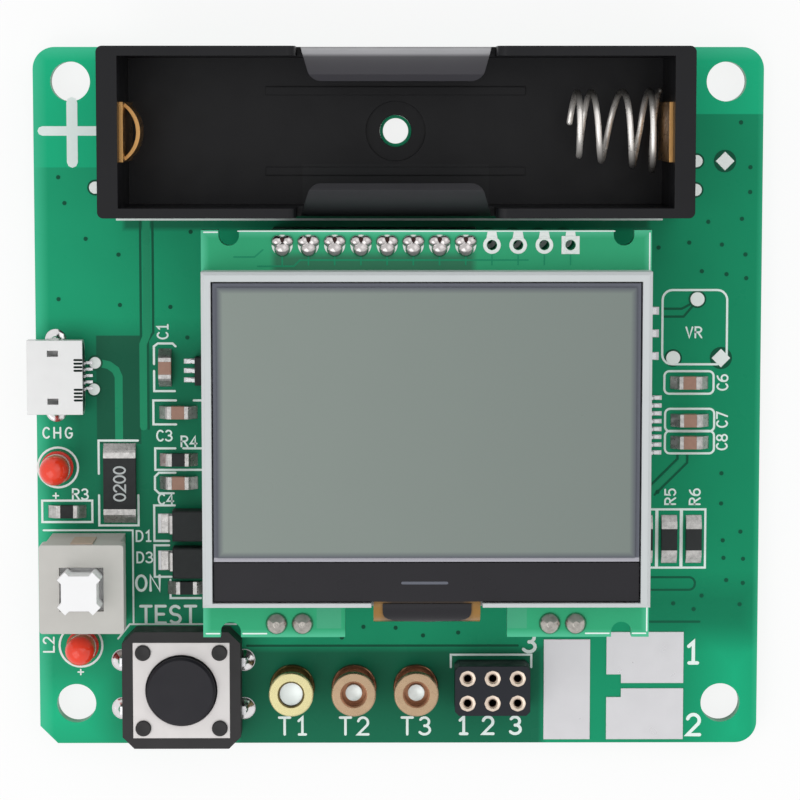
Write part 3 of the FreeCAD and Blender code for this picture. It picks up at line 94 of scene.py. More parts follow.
class Solid:
    """The points and faces of one piece, in millimetres."""

    SHARP_ANGLE = radians(38)

    def __init__(self):
        self.points = []
        self.faces = []

    def add(self, points, faces):
        start = len(self.points)
        self.points.extend(tuple(point) for point in points)
        self.faces.extend(tuple(start + index for index in face) for face in faces)

    def piece(self, name, look, slot, body="tester", replaces=()):
        """Makes the object, lets it ride on its body and gives it its finish."""
        mesh = bpy.data.meshes.new(name)
        mesh.from_pydata([[value * MM for value in point] for point in self.points], [], self.faces)
        work = bmesh.new()
        work.from_mesh(mesh)
        bmesh.ops.recalc_face_normals(work, faces=work.faces)
        work.to_mesh(mesh)
        work.free()
        mesh.shade_smooth()
        mesh.set_sharp_from_angle(angle=self.SHARP_ANGLE)
        made = bpy.data.objects.new(name, mesh)
        bpy.context.scene.collection.objects.link(made)
        mesh.materials.append(LOOKS[look])
        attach(made, body)
        if replaces:
            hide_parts(*replaces)
        return made

    def stack(self, rows, closed=False):
        """Closed rows of points with faces between them: a ring if closed, or else with flat ends."""
        count = len(rows[0])
        numbers = [range(row * count, (row + 1) * count) for row in range(len(rows))]
        ends = [] if closed else [tuple(numbers[0]), tuple(numbers[-1])]
        pairs = zip(numbers, numbers[1:] + (numbers[:1] if closed else []))
        self.add(sum(rows, []), [face for low, high in pairs for face in belt(low, high)] + ends)

    def prism(self, outline, low, high):
        """A plate: an outline of (x, y) points between two heights."""
        self.stack([[(x, y, z) for x, y in outline] for z in (low, high)])

    def lathe(self, profile, x, y, steps=32, base=0.0, closed=False):
        """A turned form: radius and height over a base, spun about the upright line through (x, y)."""
        rings, points = [], []
        for radius, height in profile:
            start = len(points)
            if radius < TINY:
                points.append((x, y, base + height))
                rings.append([start] * steps)
                continue
            for step in range(steps):
                turn = 2 * pi * step / steps
                points.append((x + radius * cos(turn), y + radius * sin(turn), base + height))
            rings.append(range(start, start + steps))
        pairs = zip(rings, rings[1:] + (rings[:1] if closed else []))
        self.add(points, [face for low, high in pairs for face in belt(low, high)])

    def tube(self, path, radius, sides=14):
        """A round wire along a path, with domed ends."""
        path = [Vector(point) for point in path]
        ways = [(path[min(i + 1, len(path) - 1)] - path[max(i - 1, 0)]).normalized() for i in range(len(path))]
        dome = [(radius * sin(radians(a)), radius * cos(radians(a))) for a in (18, 42, 66)]
        stations = [(path[0] - ways[0] * back, ways[0], size) for size, back in dome]
        stations += [(point, way, radius) for point, way in zip(path, ways)]
        stations += [(path[-1] + ways[-1] * ahead, ways[-1], size) for size, ahead in reversed(dome)]
        turns = [2 * pi * step / sides for step in range(sides)]
        side = ways[0].orthogonal().normalized()
        rows = []
        for centre, way, size in stations:
            side = (side - way * side.dot(way)).normalized()
            other = way.cross(side)
            rows.append([centre + (side * cos(turn) + other * sin(turn)) * size for turn in turns])
        self.stack(rows)


def bow(x, y, across, up, start, end, steps=10):
    """Points of an elliptical arc from one angle to another, in degrees."""
    turns = [radians(start + (end - start) * step / steps) for step in range(steps + 1)]
    return [(x + across * cos(turn), y + up * sin(turn)) for turn in turns]


def rounded_box(x0, y0, x1, y1, radius, steps=5):
    """The outline of a box with round corners."""
    left, right, low, high = x0 + radius, x1 - radius, y0 + radius, y1 - radius
    bends = ((right, high, 0), (left, high, 90), (left, low, 180), (right, low, 270))
    return [point for x, y, turn in bends for point in bow(x, y, radius, radius, turn, turn + 90, steps)]


def corners(x0, y0, x1, y1, past=0.0):
    """The outline of a plain box, grown on all sides."""
    x0, y0, x1, y1 = x0 - past, y0 - past, x1 + past, y1 + past
    return [(x0, y0), (x1, y0), (x1, y1), (x0, y1)]


# Letters are strokes on a cell one unit high.
GLYPHS = {
    "1": [[(0.08, 0.8), (0.3, 1), (0.3, 0)], [(0.1, 0), (0.5, 0)]],
    "2": [bow(0.29, 0.71, 0.29, 0.29, 165, -35) + [(0, 0), (0.6, 0)]],
    "3": [bow(0.27, 0.75, 0.27, 0.25, 150, -90), bow(0.27, 0.26, 0.32, 0.26, 90, -150)],
    "4": [[(0.45, 0), (0.45, 1), (0, 0.3), (0.6, 0.3)]],
    "5": [[(0.55, 1), (0.06, 1), (0.03, 0.55)] + bow(0.27, 0.32, 0.31, 0.32, 120, -145)],
    "6": [bow(0.3, 0.3, 0.3, 0.3, 90, 450, 14), bow(0.6, 0.42, 0.6, 0.58, 100, 190)],
    "7": [[(0, 1), (0.58, 1), (0.2, 0)]],
    "8": [bow(0.3, 0.75, 0.25, 0.25, -90, 270, 14), bow(0.3, 0.25, 0.3, 0.25, 90, 450, 14)],
    "0": [bow(0.3, 0.5, 0.3, 0.5, 90, 450, 16)],
    "C": [bow(0.33, 0.5, 0.33, 0.5, 45, 315, 12)],
    "D": [[(0, 0), (0, 1), (0.25, 1)] + bow(0.25, 0.5, 0.35, 0.5, 90, -90) + [(0, 0)]],
    "E": [[(0.55, 1), (0, 1), (0, 0), (0.55, 0)], [(0, 0.52), (0.45, 0.52)]],
    "G": [bow(0.33, 0.5, 0.33, 0.5, 45, 330, 12) + [(0.62, 0.45), (0.38, 0.45)]],
    "H": [[(0, 0), (0, 1)], [(0.6, 0), (0.6, 1)], [(0, 0.5), (0.6, 0.5)]],
    "L": [[(0, 1), (0, 0), (0.55, 0)]],
    "N": [[(0, 0), (0, 1), (0.6, 0), (0.6, 1)]],
    "O": [bow(0.33, 0.5, 0.33, 0.5, 90, 450, 16)],
    "R": [[(0, 0), (0, 1), (0.3, 1)] + bow(0.3, 0.76, 0.28, 0.24, 90, -90) + [(0, 0.52)],
          [(0.25, 0.52), (0.6, 0)]],
    "S": [bow(0.3, 0.75, 0.28, 0.25, 35, 270) + bow(0.3, 0.25, 0.3, 0.25, 90, -145)],
    "T": [[(0, 1), (0.64, 1)], [(0.32, 1), (0.32, 0)]],
    "V": [[(0, 1), (0.3, 0), (0.6, 1)]],
    "+": [[(0, 0.5), (0.6, 0.5)], [(0.3, 0.2), (0.3, 0.8)]],
}


class Print(Solid):
    """A thin layer on a face. Each stroke lies a hair higher than the last, so that no two share a face."""

    HAIR = 0.0003
    CYCLE = 24
    SHARPEST = 0.35

    def __init__(self, face, height, way=1):
        super().__init__()
        self.face = face
        self.height = height
        self.way = way
        self.count = 0

    def levels(self):
        self.count += 1
        return self.face, self.face + self.way * (self.height + self.HAIR * (self.count % self.CYCLE))

    def plate(self, outline):
        self.prism(outline, *self.levels())

    def disc(self, x, y, radius, steps=24):
        self.plate(bow(x, y, radius, radius, 0, 360 - 360 / steps, steps - 1))

    def ring(self, x, y, inner, outer, steps=32):
        low, high = self.levels()
        self.lathe([(inner, low), (outer, low), (outer, high), (inner, high)], x, y, steps, closed=True)

    def loop(self, outline, width):
        """A closed stroke of even width, mitred at its corners."""
        lefts, rights = self.edges(outline, width / 2, True)
        low, high = self.levels()
        rows = ((lefts, low), (lefts, high), (rights, high), (rights, low))
        self.stack([[(point.x, point.y, z) for point in edge] for edge, z in rows], closed=True)

    def line(self, path, width, caps=4):
        """A stroke of even width along an open path, mitred at its corners, with round ends."""
        lefts, rights = self.edges(path, width / 2, False)
        count = len(lefts)
        outline = list(lefts)
        for centre, edge in ((Vector(path[-1]), lefts[-1]), (Vector(path[0]), rights[0])):
            arm = edge - centre
            outline += [centre + Matrix.Rotation(-pi * step / caps, 2) @ arm for step in range(1, caps)]
            if edge is lefts[-1]:
                outline += list(reversed(rights))
        low, high = self.levels()
        total = len(outline)
        points = [(point.x, point.y, z) for z in (low, high) for point in outline]
        right = [count + caps - 1 + (count - 1 - i) for i in range(count)]
        flats = [(i, i + 1, right[i + 1], right[i]) for i in range(count - 1)]
        flats.append(tuple(range(count - 1, count + caps)))
        flats.append(tuple(range(right[0], total)) + (0,))
        faces = flats + [tuple(total + index for index in face) for face in flats]
        self.add(points, faces + belt(range(total), range(total, 2 * total)))

    def text(self, words, x, y, height, weight=0.15, turn=0.0, gap=0.28):
        """Plain strokes, centred on (x, y)."""
        cells = [max(px for stroke in GLYPHS[letter] for px, _ in stroke) for letter in words]
        start = -(sum(cells) + gap * (len(words) - 1)) / 2
        swing = Matrix.Rotation(radians(turn), 2)
        for letter, cell in zip(words, cells):
            for stroke in GLYPHS[letter]:
                placed = [swing @ Vector((start + px, py - 0.5)) * height + Vector((x, y)) for px, py in stroke]
                if (placed[0] - placed[-1]).length < TINY:
                    self.loop(placed[:-1], weight * height)
                else:
                    self.line(placed, weight * height)
            start += cell + gap

    @staticmethod
    def edges(path, half, closed):
        """The left and right edges of a stroke."""
        path = [Vector(point) for point in path]
        path = [point for i, point in enumerate(path) if i == 0 or (point - path[i - 1]).length > TINY]
        count = len(path)
        lefts, rights = [], []
        for i, point in enumerate(path):
            spans = []
            if i or closed:
                spans.append(point - path[i - 1])
            if i < count - 1 or closed:
                spans.append(path[(i + 1) % count] - point)
            normals = [Vector((-span.y, span.x)).normalized() for span in spans]
            arm = sum(normals, Vector((0, 0)))
            arm = arm * (half / max(arm.dot(normals[0]), Print.SHARPEST))
            lefts.append(point + arm)
            rights.append(point - arm)
        return lefts, rights


def islands(node):
    """The corners, low and high, of each separate solid in a node, in millimetres."""
    mesh = NODES[node].data
    places = np.array([vertex.co for vertex in mesh.vertices]) / MM
    names = {}
    welded = [names.setdefault(tuple(place), len(names)) for place in np.round(places, 4)]
    parent = list(range(len(names)))

    def root(index):
        while parent[index] != index:
            index = parent[index]
        return index

    for edge in mesh.edges:
        one, other = (root(welded[index]) for index in edge.vertices)
        parent[max(one, other)] = min(one, other)
    groups = {}
    for index, name in enumerate(welded):
        groups.setdefault(root(name), []).append(index)
    return [(Vector(places[group].min(0)), Vector(places[group].max(0))) for group in groups.values()]


# Finishes

def srgb(red, green, blue):
    """A display colour, 0 to 255, as the linear colour that a shader takes."""
    shares = [value / 255 for value in (red, green, blue)]
    return [share / 12.92 if share <= 0.04045 else ((share + 0.055) / 1.055) ** 2.4 for share in shares] + [1]


def feed(tree, socket, value):
    """Gives a shader's input a value, or joins another node's output to it."""
    if isinstance(value, bpy.types.NodeSocket):
        tree.links.new(value, socket)
    else:
        socket.default_value = value


def wire(tree, kind, *inputs, **settings):
    """Adds a shader node, feeds its inputs in order and gives its first output."""
    made = tree.nodes.new(kind)
    for name, value in settings.items():
        setattr(made, name, value)
    for socket, value in zip(made.inputs, inputs):
        feed(tree, socket, value)
    return made.outputs[0]


class Finish:
    """A material with uneven colour, uneven gloss, a fine texture and softened edges."""

    GLOSS_SPREAD = 0.15
    BUMP_DEPTH = 0.02 * MM

    def __init__(self, name, colour, rough, metal=0.0, mottle=0.08, blotch=2.0, grain=0.05, grit=0.12,
                 soft_edge=0.08, shine=0.2):
        self.material = bpy.data.materials.new(name)
        self.material.use_nodes = True
        self.tree = self.material.node_tree
        self.shader = self.tree.nodes["Principled BSDF"]
        self.place = self.tree.nodes.new("ShaderNodeTexCoord").outputs["Object"]
        self.split = self.tree.nodes.new("ShaderNodeSeparateXYZ").outputs
        self.link(self.place, self.split["X"].node.inputs["Vector"])
        self.shader.inputs["Metallic"].default_value = metal
        self.shader.inputs["Specular IOR Level"].default_value = shine
        tone = srgb(*colour)[:3]
        ends = [[min(share * part, 1) for share in tone] + [1] for part in (1 - mottle, 1 + mottle)]
        self.colour = self.mix(self.noise(blotch), *ends)
        self.link(self.colour, self.shader.inputs["Base Color"])
        glossy, dull = rough * (1 - self.GLOSS_SPREAD), min(rough * (1 + self.GLOSS_SPREAD), 1)
        gloss = self.span(self.noise(blotch * 0.6, 3), 0.3, 0.7, glossy, dull)
        self.link(gloss, self.shader.inputs["Roughness"])
        bump = self.node("ShaderNodeBump", Strength=min(grain * 4, 1), Distance=self.BUMP_DEPTH)
        self.link(self.noise(grit, 4), bump.inputs["Height"])
        if soft_edge:
            bevel = self.node("ShaderNodeBevel", Radius=soft_edge * MM)
            bevel.samples = 4
            self.link(bevel.outputs["Normal"], bump.inputs["Normal"])
        self.link(bump.outputs["Normal"], self.shader.inputs["Normal"])

    def node(self, kind, **values):
        made = self.tree.nodes.new(kind)
        for name, value in values.items():
            made.inputs[name].default_value = value
        return made

    def link(self, start, end):
        self.tree.links.new(start, end)

    def noise(self, size, detail=2):
        """Soft noise with features about that many millimetres across."""
        made = self.node("ShaderNodeTexNoise", Scale=1 / (size * MM), Detail=detail)
        self.link(self.place, made.inputs["Vector"])
        return made.outputs["Fac"]

    def span(self, value, low, high, start, end):
        """Takes a value from one range to another, held at both ends."""
        return wire(self.tree, "ShaderNodeMapRange", value, low, high, start, end)

    def mix(self, share, first, second):
        """A blend of two colours, each a socket or linear numbers."""
        made = self.tree.nodes.new("ShaderNodeMix")
        made.data_type = "RGBA"
        self.link(share, made.inputs["Factor"])
        for socket, colour in zip([entry for entry in made.inputs if entry.type == "RGBA"], (first, second)):
            feed(self.tree, socket, colour)
        return [entry for entry in made.outputs if entry.type == "RGBA"][0]

    def math(self, operation, first, second=0.0):
        return wire(self.tree, "ShaderNodeMath", first, second, operation=operation)

    def from_edge(self, low, high):
        """The distance in from the nearest side of a box in x and y, in metres."""
        nearest = None
        for axis, name in enumerate("XY"):
            middle, half = (low[axis] + high[axis]) / 2 * MM, (high[axis] - low[axis]) / 2 * MM
            away = self.math("ABSOLUTE", self.math("SUBTRACT", self.split[name], middle))
            inside = self.math("SUBTRACT", half, away)
            nearest = inside if nearest is None else self.math("MINIMUM", nearest, inside)
        return nearest

    def recolour(self, share, colour):
        """Blends the colour so far into another one."""
        self.colour = self.mix(share, self.colour, srgb(*colour))
        self.link(self.colour, self.shader.inputs["Base Color"])

    def patch(self, low, high, colour, share, soft, levels=()):
        """Blends a box in x and y into another colour; each pair of levels takes it from none to all."""
        inside = self.span(self.from_edge(low, high), 0, soft * MM, 0, share)
        for start, end in levels:
            height = self.span(self.split["Z"], start * MM, end * MM, 0, 1)
            inside = self.math("MULTIPLY", inside, height)
        self.recolour(inside, colour)

    def set(self, **values):
        for name, value in values.items():
            self.shader.inputs[name.replace("_", " ")].default_value = value
        return self


# Faces of a board, as the heights between which a patch sets in
BOTH, FRONT, BACK = (), ((0.7, 0.9),), ((0.9, 0.7),)
BARE = (30, 188, 136)

# Copper and bare fibreglass under the mask, and painted shade and shadows: faces, low corner, high corner,
# softness, share and colour
BOARD_PATCHES = (
    # Painted shade: both faces darker towards the right side of the board.
    (BOTH, (0, -60), (80, 60), 60, 0.75, (8, 114, 78)),
    (FRONT, (-40, 23.05), (-29.2, 40), 0.08, 0.9, BARE),
    (FRONT, (29, 28.4), (40, 40), 0.08, 0.9, BARE),
    (FRONT, (-40, -37.2), (-29, -28.4), 4, 0.9, BARE),
    (FRONT, (29, -40), (40, -22.6), 7, 0.9, BARE),
    (FRONT, (-30.7, -5), (-26.1, 6.15), 0.1, 0.85, (38, 88, 68)),
    # Darker copper below the display, from y -25.6 down, made darker still as painted shade around the test
    # sockets.
    (FRONT, (-17, -45), (15.2, -25.6), 0.9, 0.85, (26, 100, 74)),
    # Painted shadow of the display on the board along its left side.
    (FRONT, (-36.4, -24.4), (-15.6, 8), 4, 0.66, (20, 92, 68)),
    (FRONT, (23, -26.5), (38, -18), 3, 0.5, (16, 104, 74)),
    # Painted shadow of the battery holder, in a band just below it.
    (FRONT, (-28, 16.6), (25.5, 18.6), 0.5, 0.7, (22, 92, 68)),
    (BACK, (29.3, 27.6), (40, 40), 0.08, 0.6, (40, 168, 120)),
    (BACK, (-40, 19.9), (-29.4, 31.8), 0.08, 0.55, (12, 112, 74)),
    (BACK, (12.6, -40), (40, -23.4), 0.08, 0.55, (24, 114, 82)),
    (BACK, (-14.4, -40), (12.6, -26.3), 0.08, 0.55, (22, 106, 76)),
    (BACK, (15.4, -13.8), (27, -10.5), 0.3, 0.55, (28, 112, 80)),
    (BACK, (9.8, -12.9), (17.9, -9.2), 0.3, 0.55, (28, 112, 80)),
    (BACK, (10.4, -19.1), (15.9, -15.1), 0.08, 0.55, (24, 106, 76)),
)
PANEL_PATCHES = (
    (BOTH, (-12.6, 10), (7.6, 15.3), 0.7, 0.7, (58, 100, 80)),
    (BOTH, (-8.15, -21.8), (-5.65, -19), 0.1, 0.8, (80, 172, 134)),
    (BOTH, (10.1, -21.8), (12.56, -19), 0.1, 0.8, (80, 172, 134)),
)


def board_finish(name, colour, rim_colour, node, rim, patches, right=0.0, below=0.0):
    """Solder mask, brighter in a rim where light comes through its edges, less so at two of them."""
    made = Finish(name, colour, 0.3, mottle=0.06, blotch=6.0, grain=0.02, grit=0.3, soft_edge=0.0, shine=0.06)
    for faces, low, high, soft, share, tone in patches:
        made.patch(low, high, tone, share, soft, faces)
    low, high = box(node)
    edge = made.from_edge((low.x, low.y - below), (high.x + right, high.y))
    made.recolour(made.span(edge, rim * 0.2 * MM, rim * MM, 0.8, 0), rim_colour)
    return made.set(Coat_Weight=0.04, Coat_Roughness=0.12).material


def screen_finish():
    """The display's view area: a grey film, with painted shade darkening it towards its right side and a
    painted shadow of the frame in a narrow band along its sides.
    """
    made = Finish("screen_film", (135, 145, 139), 0.3, mottle=0.02, blotch=9.0, grain=0.01, soft_edge=0.05)
    # Painted shade: the film darker towards its right side.
    made.patch((-19, -99), (64, 99), (120, 130, 125), 0.8, 42)
    # Painted shadow of the frame, in a narrow band along the film's sides.
    edge = made.from_edge(*box("display_polariser"))
    made.recolour(made.span(edge, 0.05 * MM, 0.6 * MM, 0.85, 0), (84, 87, 98))
    return made.set(Coat_Weight=0.2, Coat_Roughness=0.1).material


def glass_finish():
    """Ground glass edges: dark, with a painted highlight along the ledge."""
    made = Finish("glass_edge", (98, 101, 112), 0.12, mottle=0.05, blotch=4.0, grain=0.01, soft_edge=0.06)
    low, high = box("display_front_glass")
    # Painted highlight: pale along the front glass's lower edge, by the ledge.
    made.patch((low.x - 1, low.y - 0.1), (high.x + 1, low.y + 0.42), (180, 179, 188), 0.95, 0.04)
    return made.set(Coat_Weight=0.3, Coat_Roughness=0.05).material


def flex_finish():
    """Amber film, dark over its traces in the middle."""
    made = Finish("flex_amber", (62, 47, 34), 0.3, mottle=0.2, blotch=1.2, grain=0.04)
    low, high = box("display_flex")
    edge = made.from_edge((low.x, -99), (high.x, 99))
    made.recolour(made.span(edge, 0.6 * MM, 1.8 * MM, 0.9, 0), (156, 114, 52))
    return made.set(Coat_Weight=0.3, Coat_Roughness=0.12).material


def holder_finish():
    """Black moulding, with a painted sheen on the two clip ears, brightest where the far one turns down, and
    painted shade on the lower part of the near one.
    """
    made = Finish("holder_moulding", (21, 21, 24), 0.36, mottle=0.12, blotch=5.0, grain=0.06, grit=0.16)
    root = (10.1, 11.4)
    far_ear = (-9.7, 30), (9.1, 38)
    near_ear = (-9.7, 15), (9.1, 23.5)
    # Painted sheen on the far ear, and a painted highlight in a band where it turns down.
    made.patch(*far_ear, (64, 63, 68), 0.95, 0.1, [root])
    made.patch(*far_ear, (168, 168, 172), 0.85, 0.3, [(11, 12), (14, 13.3)])
    # Painted sheen on the near ear, with painted shade on its lower part.
    made.patch(*near_ear, (56, 56, 59), 0.9, 0.1, [root])
    made.patch(*near_ear, (30, 31, 33), 0.9, 0.1, [(14.8, 12.8)])
    return made.material


def coil_finish():
    """Bright wire, with painted shade along its sides, where it faces the holder's walls."""
    made = Finish("coil_wire", (244, 240, 235), 0.3, 0.5, mottle=0.08, blotch=1.2, grain=0.03)
    low, high = box("negative_spring")
    # Painted shade along the coil's sides.
    sides = made.from_edge((low.x - 9, low.y), (high.x + 9, high.y))
    made.recolour(made.span(sides, 0.6 * MM, 2.4 * MM, 0.9, 0), (54, 51, 48))
    return made.material


def lens_finish():
    """Diffusing red, with painted shade making it deeper towards its foot."""
    made = Finish("red_lens", (240, 62, 36), 0.12, mottle=0.1, blotch=1.2, grain=0.01, soft_edge=0.0)
    low, high = box("charge_led")
    # Painted shade: the lens deeper red towards its foot.
    made.recolour(made.span(made.split["Z"], (low.z + 1) * MM, high.z * MM, 0.9, 0), (216, 42, 28))
    return made.set(Coat_Weight=0.6, Coat_Roughness=0.03).material


# Plain finishes: name, colour, roughness, metal, mottle, blotch, grain, grit, soft edge and shine
PLAIN = {
    "gap_mask": ("mask_gap", (16, 94, 68), 0.35, 0, 0.08, 3, 0.02, 0.12, 0, 0.1),
    "trace_mask": ("mask_trace", (36, 150, 108), 0.3, 0, 0.08, 3, 0.02, 0.12, 0, 0.1),
    "back_mask": ("mask_back", (31, 148, 106), 0.3, 0, 0.08, 3, 0.02, 0.12, 0, 0.1),
    "via": ("mask_via", (14, 86, 62), 0.4, 0, 0.08, 1, 0.02, 0.12, 0, 0.1),
    "hole": ("plated_hole", (14, 30, 25), 0.5, 0, 0.08, 0.5, 0.05, 0.12, 0, 0.1),
    "silk": ("print_white", (239, 252, 248), 0.6, 0, 0.03, 0.6, 0.05, 0.12, 0),
    "tin": ("tinned_pad", (212, 211, 214), 0.32, 0.4, 0.05, 3, 0.006),
    "pad": ("tinned_hole", (230, 236, 233), 0.35, 0.3, 0.04, 0.8, 0.02),
    "end": ("tinned_end", (180, 178, 176), 0.3, 0.9, 0.45, 0.4, 0.1, 0.2),
    "solder": ("solder", (222, 220, 221), 0.18, 1, 0.08, 0.6, 0.06, 0.25),
    "joint": ("solder_joint", (192, 187, 186), 0.2, 1, 0.22, 0.4, 0.08, 0.25),
    "dull_solder": ("solder_dull", (168, 164, 158), 0.16, 1, 0.45, 0.5, 0.12, 0.2),
    "black": ("black_moulding", (30, 31, 34), 0.42, 0, 0.12, 3, 0.05, 0.1),
    "strip": ("strip_moulding", (34, 36, 43), 0.4, 0, 0.1, 2, 0.05, 0.1),
    "button": ("button_moulding", (37, 36, 41), 0.45, 0, 0.08, 3, 0.05, 0.08),
    "base": ("button_base", (50, 49, 50), 0.5, 0, 0.1, 3, 0.05, 0.08),
    "band": ("ledge_cover", (37, 36, 40), 0.3, 0, 0.04, 6, 0.02),
    "frame": ("tray_plastic", (204, 209, 210), 0.4, 0, 0.03, 3, 0.03, 0.12, 0.15),
    "brass": ("brass_bright", (206, 197, 148), 0.26, 0.8, 0.06, 1, 0.01),
    "copper": ("brass_tarnished", (174, 148, 120), 0.28, 0.8, 0.12, 0.9, 0.01),
    "dark_brass": ("brass_shade", (104, 90, 54), 0.2, 0.85, 0.2, 0.8, 0.02),
    "dark_copper": ("brass_shade_tarnished", (150, 106, 80), 0.2, 0.85, 0.2, 0.8, 0.02),
    "pale_brass": ("brass_pale", (222, 204, 188), 0.3, 0.6, 0.06, 0.6, 0.04),
    "bore": ("bore_shade", (44, 22, 18), 0.5, 0, 0.1, 0.4, 0.05, 0.12, 0),
    "contact": ("contact_brass", (188, 144, 90), 0.3, 0.9, 0.1, 1.5, 0.05),
    "spring": ("spring_wire", (236, 232, 226), 0.3, 0.5, 0.08, 1.2, 0.03),
    "steel": ("tinned_steel", (219, 219, 219), 0.36, 0.4, 0.04, 2, 0.05),
    "plate": ("button_plate", (211, 207, 206), 0.4, 0.35, 0.04, 2, 0.05),
    "lead": ("lead_tin", (208, 208, 210), 0.25, 1, 0.06, 0.5, 0.05),
    "chip": ("chip_epoxy", (46, 48, 49), 0.55, 0, 0.12, 0.8, 0.12, 0.06),
    "ferrite": ("ferrite", (52, 52, 55), 0.6, 0, 0.15, 0.8, 0.15, 0.08),
    "ceramic": ("capacitor_ceramic", (178, 138, 122), 0.4, 0, 0.1, 0.4, 0.06),
    "switch": ("switch_grey", (198, 196, 191), 0.5, 0, 0.04, 2, 0.06, 0.1),
    "latch": ("switch_latch", (196, 176, 160), 0.45, 0, 0.05, 1, 0.04),
    "white": ("white_moulding", (246, 246, 247), 0.4, 0, 0.02, 2, 0.03),
}
LOOKS = {look: Finish(*values).material for look, values in PLAIN.items()}
LOOKS.update({
    "board": board_finish("board_green", (31, 164, 118), (70, 196, 152), "main_board", 1.4, BOARD_PATCHES,
                          right=0.8, below=3.0),
    "panel": board_finish("panel_green", (56, 170, 122), (92, 200, 158), "display_board", 0.8, PANEL_PATCHES),
    "holder": holder_finish(),
    "glass": glass_finish(),
    "screen": screen_finish(),
    "flex": flex_finish(),
    "coil": coil_finish(),
    "lens": lens_finish(),
})

NODE_LOOKS = {
    "board": "main_board",
    "panel": "display_board",
    "tin": "test_pads",
    "solder": "solder_joints",
    "end": "chip_ends diode_leads",
    "black": "display_sockets display_plugs usb_tongue switch_base",
    "strip": "socket_strip_body",
    "holder": "battery_holder",
    "button": "button_plunger",
    "base": "button_base",
    "band": "display_ledge_cover",
    "frame": "display_frame",
    "glass": "display_rear_glass display_front_glass",
    "screen": "display_polariser",
    "flex": "display_flex",
    "brass": "test_socket_1 display_socket_contacts display_pins",
    "pale_brass": "socket_strip_contacts",
    "copper": "test_socket_2 test_socket_3",
    "contact": "positive_contact negative_contact",
    "spring": "negative_spring switch_return_spring button_dome",
    "steel": "usb_shell crystal",
    "plate": "button_cover",
    "lead": "button_terminals led_leads switch_contacts microcontroller_leads regulator_leads "
            "boost_chip_leads charger_chip_leads usb_contacts",
    "chip": "display_driver_chip microcontroller_body regulator_body boost_chip_body "
            "charger_chip_body diode_bodies chip_resistor_bodies shunt_resistor_body",
    "ferrite": "power_inductor",
    "ceramic": "chip_capacitor_bodies",
    "lens": "charge_led power_led",
    "switch": "switch_housing",
    "white": "switch_plunger",
}
for look, names in NODE_LOOKS.items():
    for name in names.split():
        NODES[name].data.materials.clear()
        NODES[name].data.materials.append(LOOKS[look])


# Places on the main board that several layers share

def centre(node):
    low, high = box(node)
    return (low + high) / 2


def middles(node):
    """The middle, in x and y, of each separate solid in a node."""
    return [((low.x + high.x) / 2, (low.y + high.y) / 2) for low, high in islands(node)]


HEADER = [(16.6 - PITCH * way, 15.85) for way in range(12)]
EMPTY_HEADER = HEADER[:4]
BUTTON = centre("button_base")
BUTTON_PINS = middles("button_terminals")
SOCKETS = [centre("test_socket_%d" % number) for number in (1, 2, 3)]
STRIP = middles("socket_strip_contacts")
CHARGE_RING = (-34.65, -7.35)
POWER_RING = (-32.5, -25.7)
ROUND_PADS = [(30.05, 23.72, 0.62), (29.99, 20.82, 0.62), (-30.59, 21.06, 0.62), (30.28, 9.77, 0.72),
              (27.87, 3.79, 0.72), (-30.77, 3.33, 0.6), (-30.9, 0.63, 0.6)]
DIAMOND_PADS = [(32.93, 23.72, 0.95), (32.72, 3.79, 0.95)]
SPARE_HOLES = [(13.2, -10.85), (13.2, -16)]
PORT_LEGS = [(-34.75, 5.7), (-34.75, -1.6)]


# Copper under the mask, on the component side

FRONT_VIAS = (
    (-34.3, 22.1), (-33.7, 19.5), (-31.6, 15.9), (-28.3, 14.3), (-34.4, 9.8), (-28.2, 9.2), (-23.1, 9),
    (-21.4, 5.9), (-21, 16.6), (34.5, 27.6), (35.5, 23.1), (35.5, 20.6), (34.7, 17.9), (31.3, 17.6),
    (32.7, 15.3), (29.4, 15.5), (26.3, 15), (35.1, 14.3), (30.7, 12.6), (33.2, 12.3), (35.2, 11.9),
    (-3.6, -23.8), (-5.8, -24.9), (32.9, -8), (32.9, -11.1), (34.9, -14), (33.1, -14.9), (33.2, -16.7),
    (35.2, -16.8), (33.5, -19), (35.2, -19.3), (31, -20.6), (28.1, -21.4), (34.9, -21.5), (30.2, -22),
    (6.1, -24.4), (2.5, -24.7), (-0.3, -23.9), (26.4, -9.9),
)


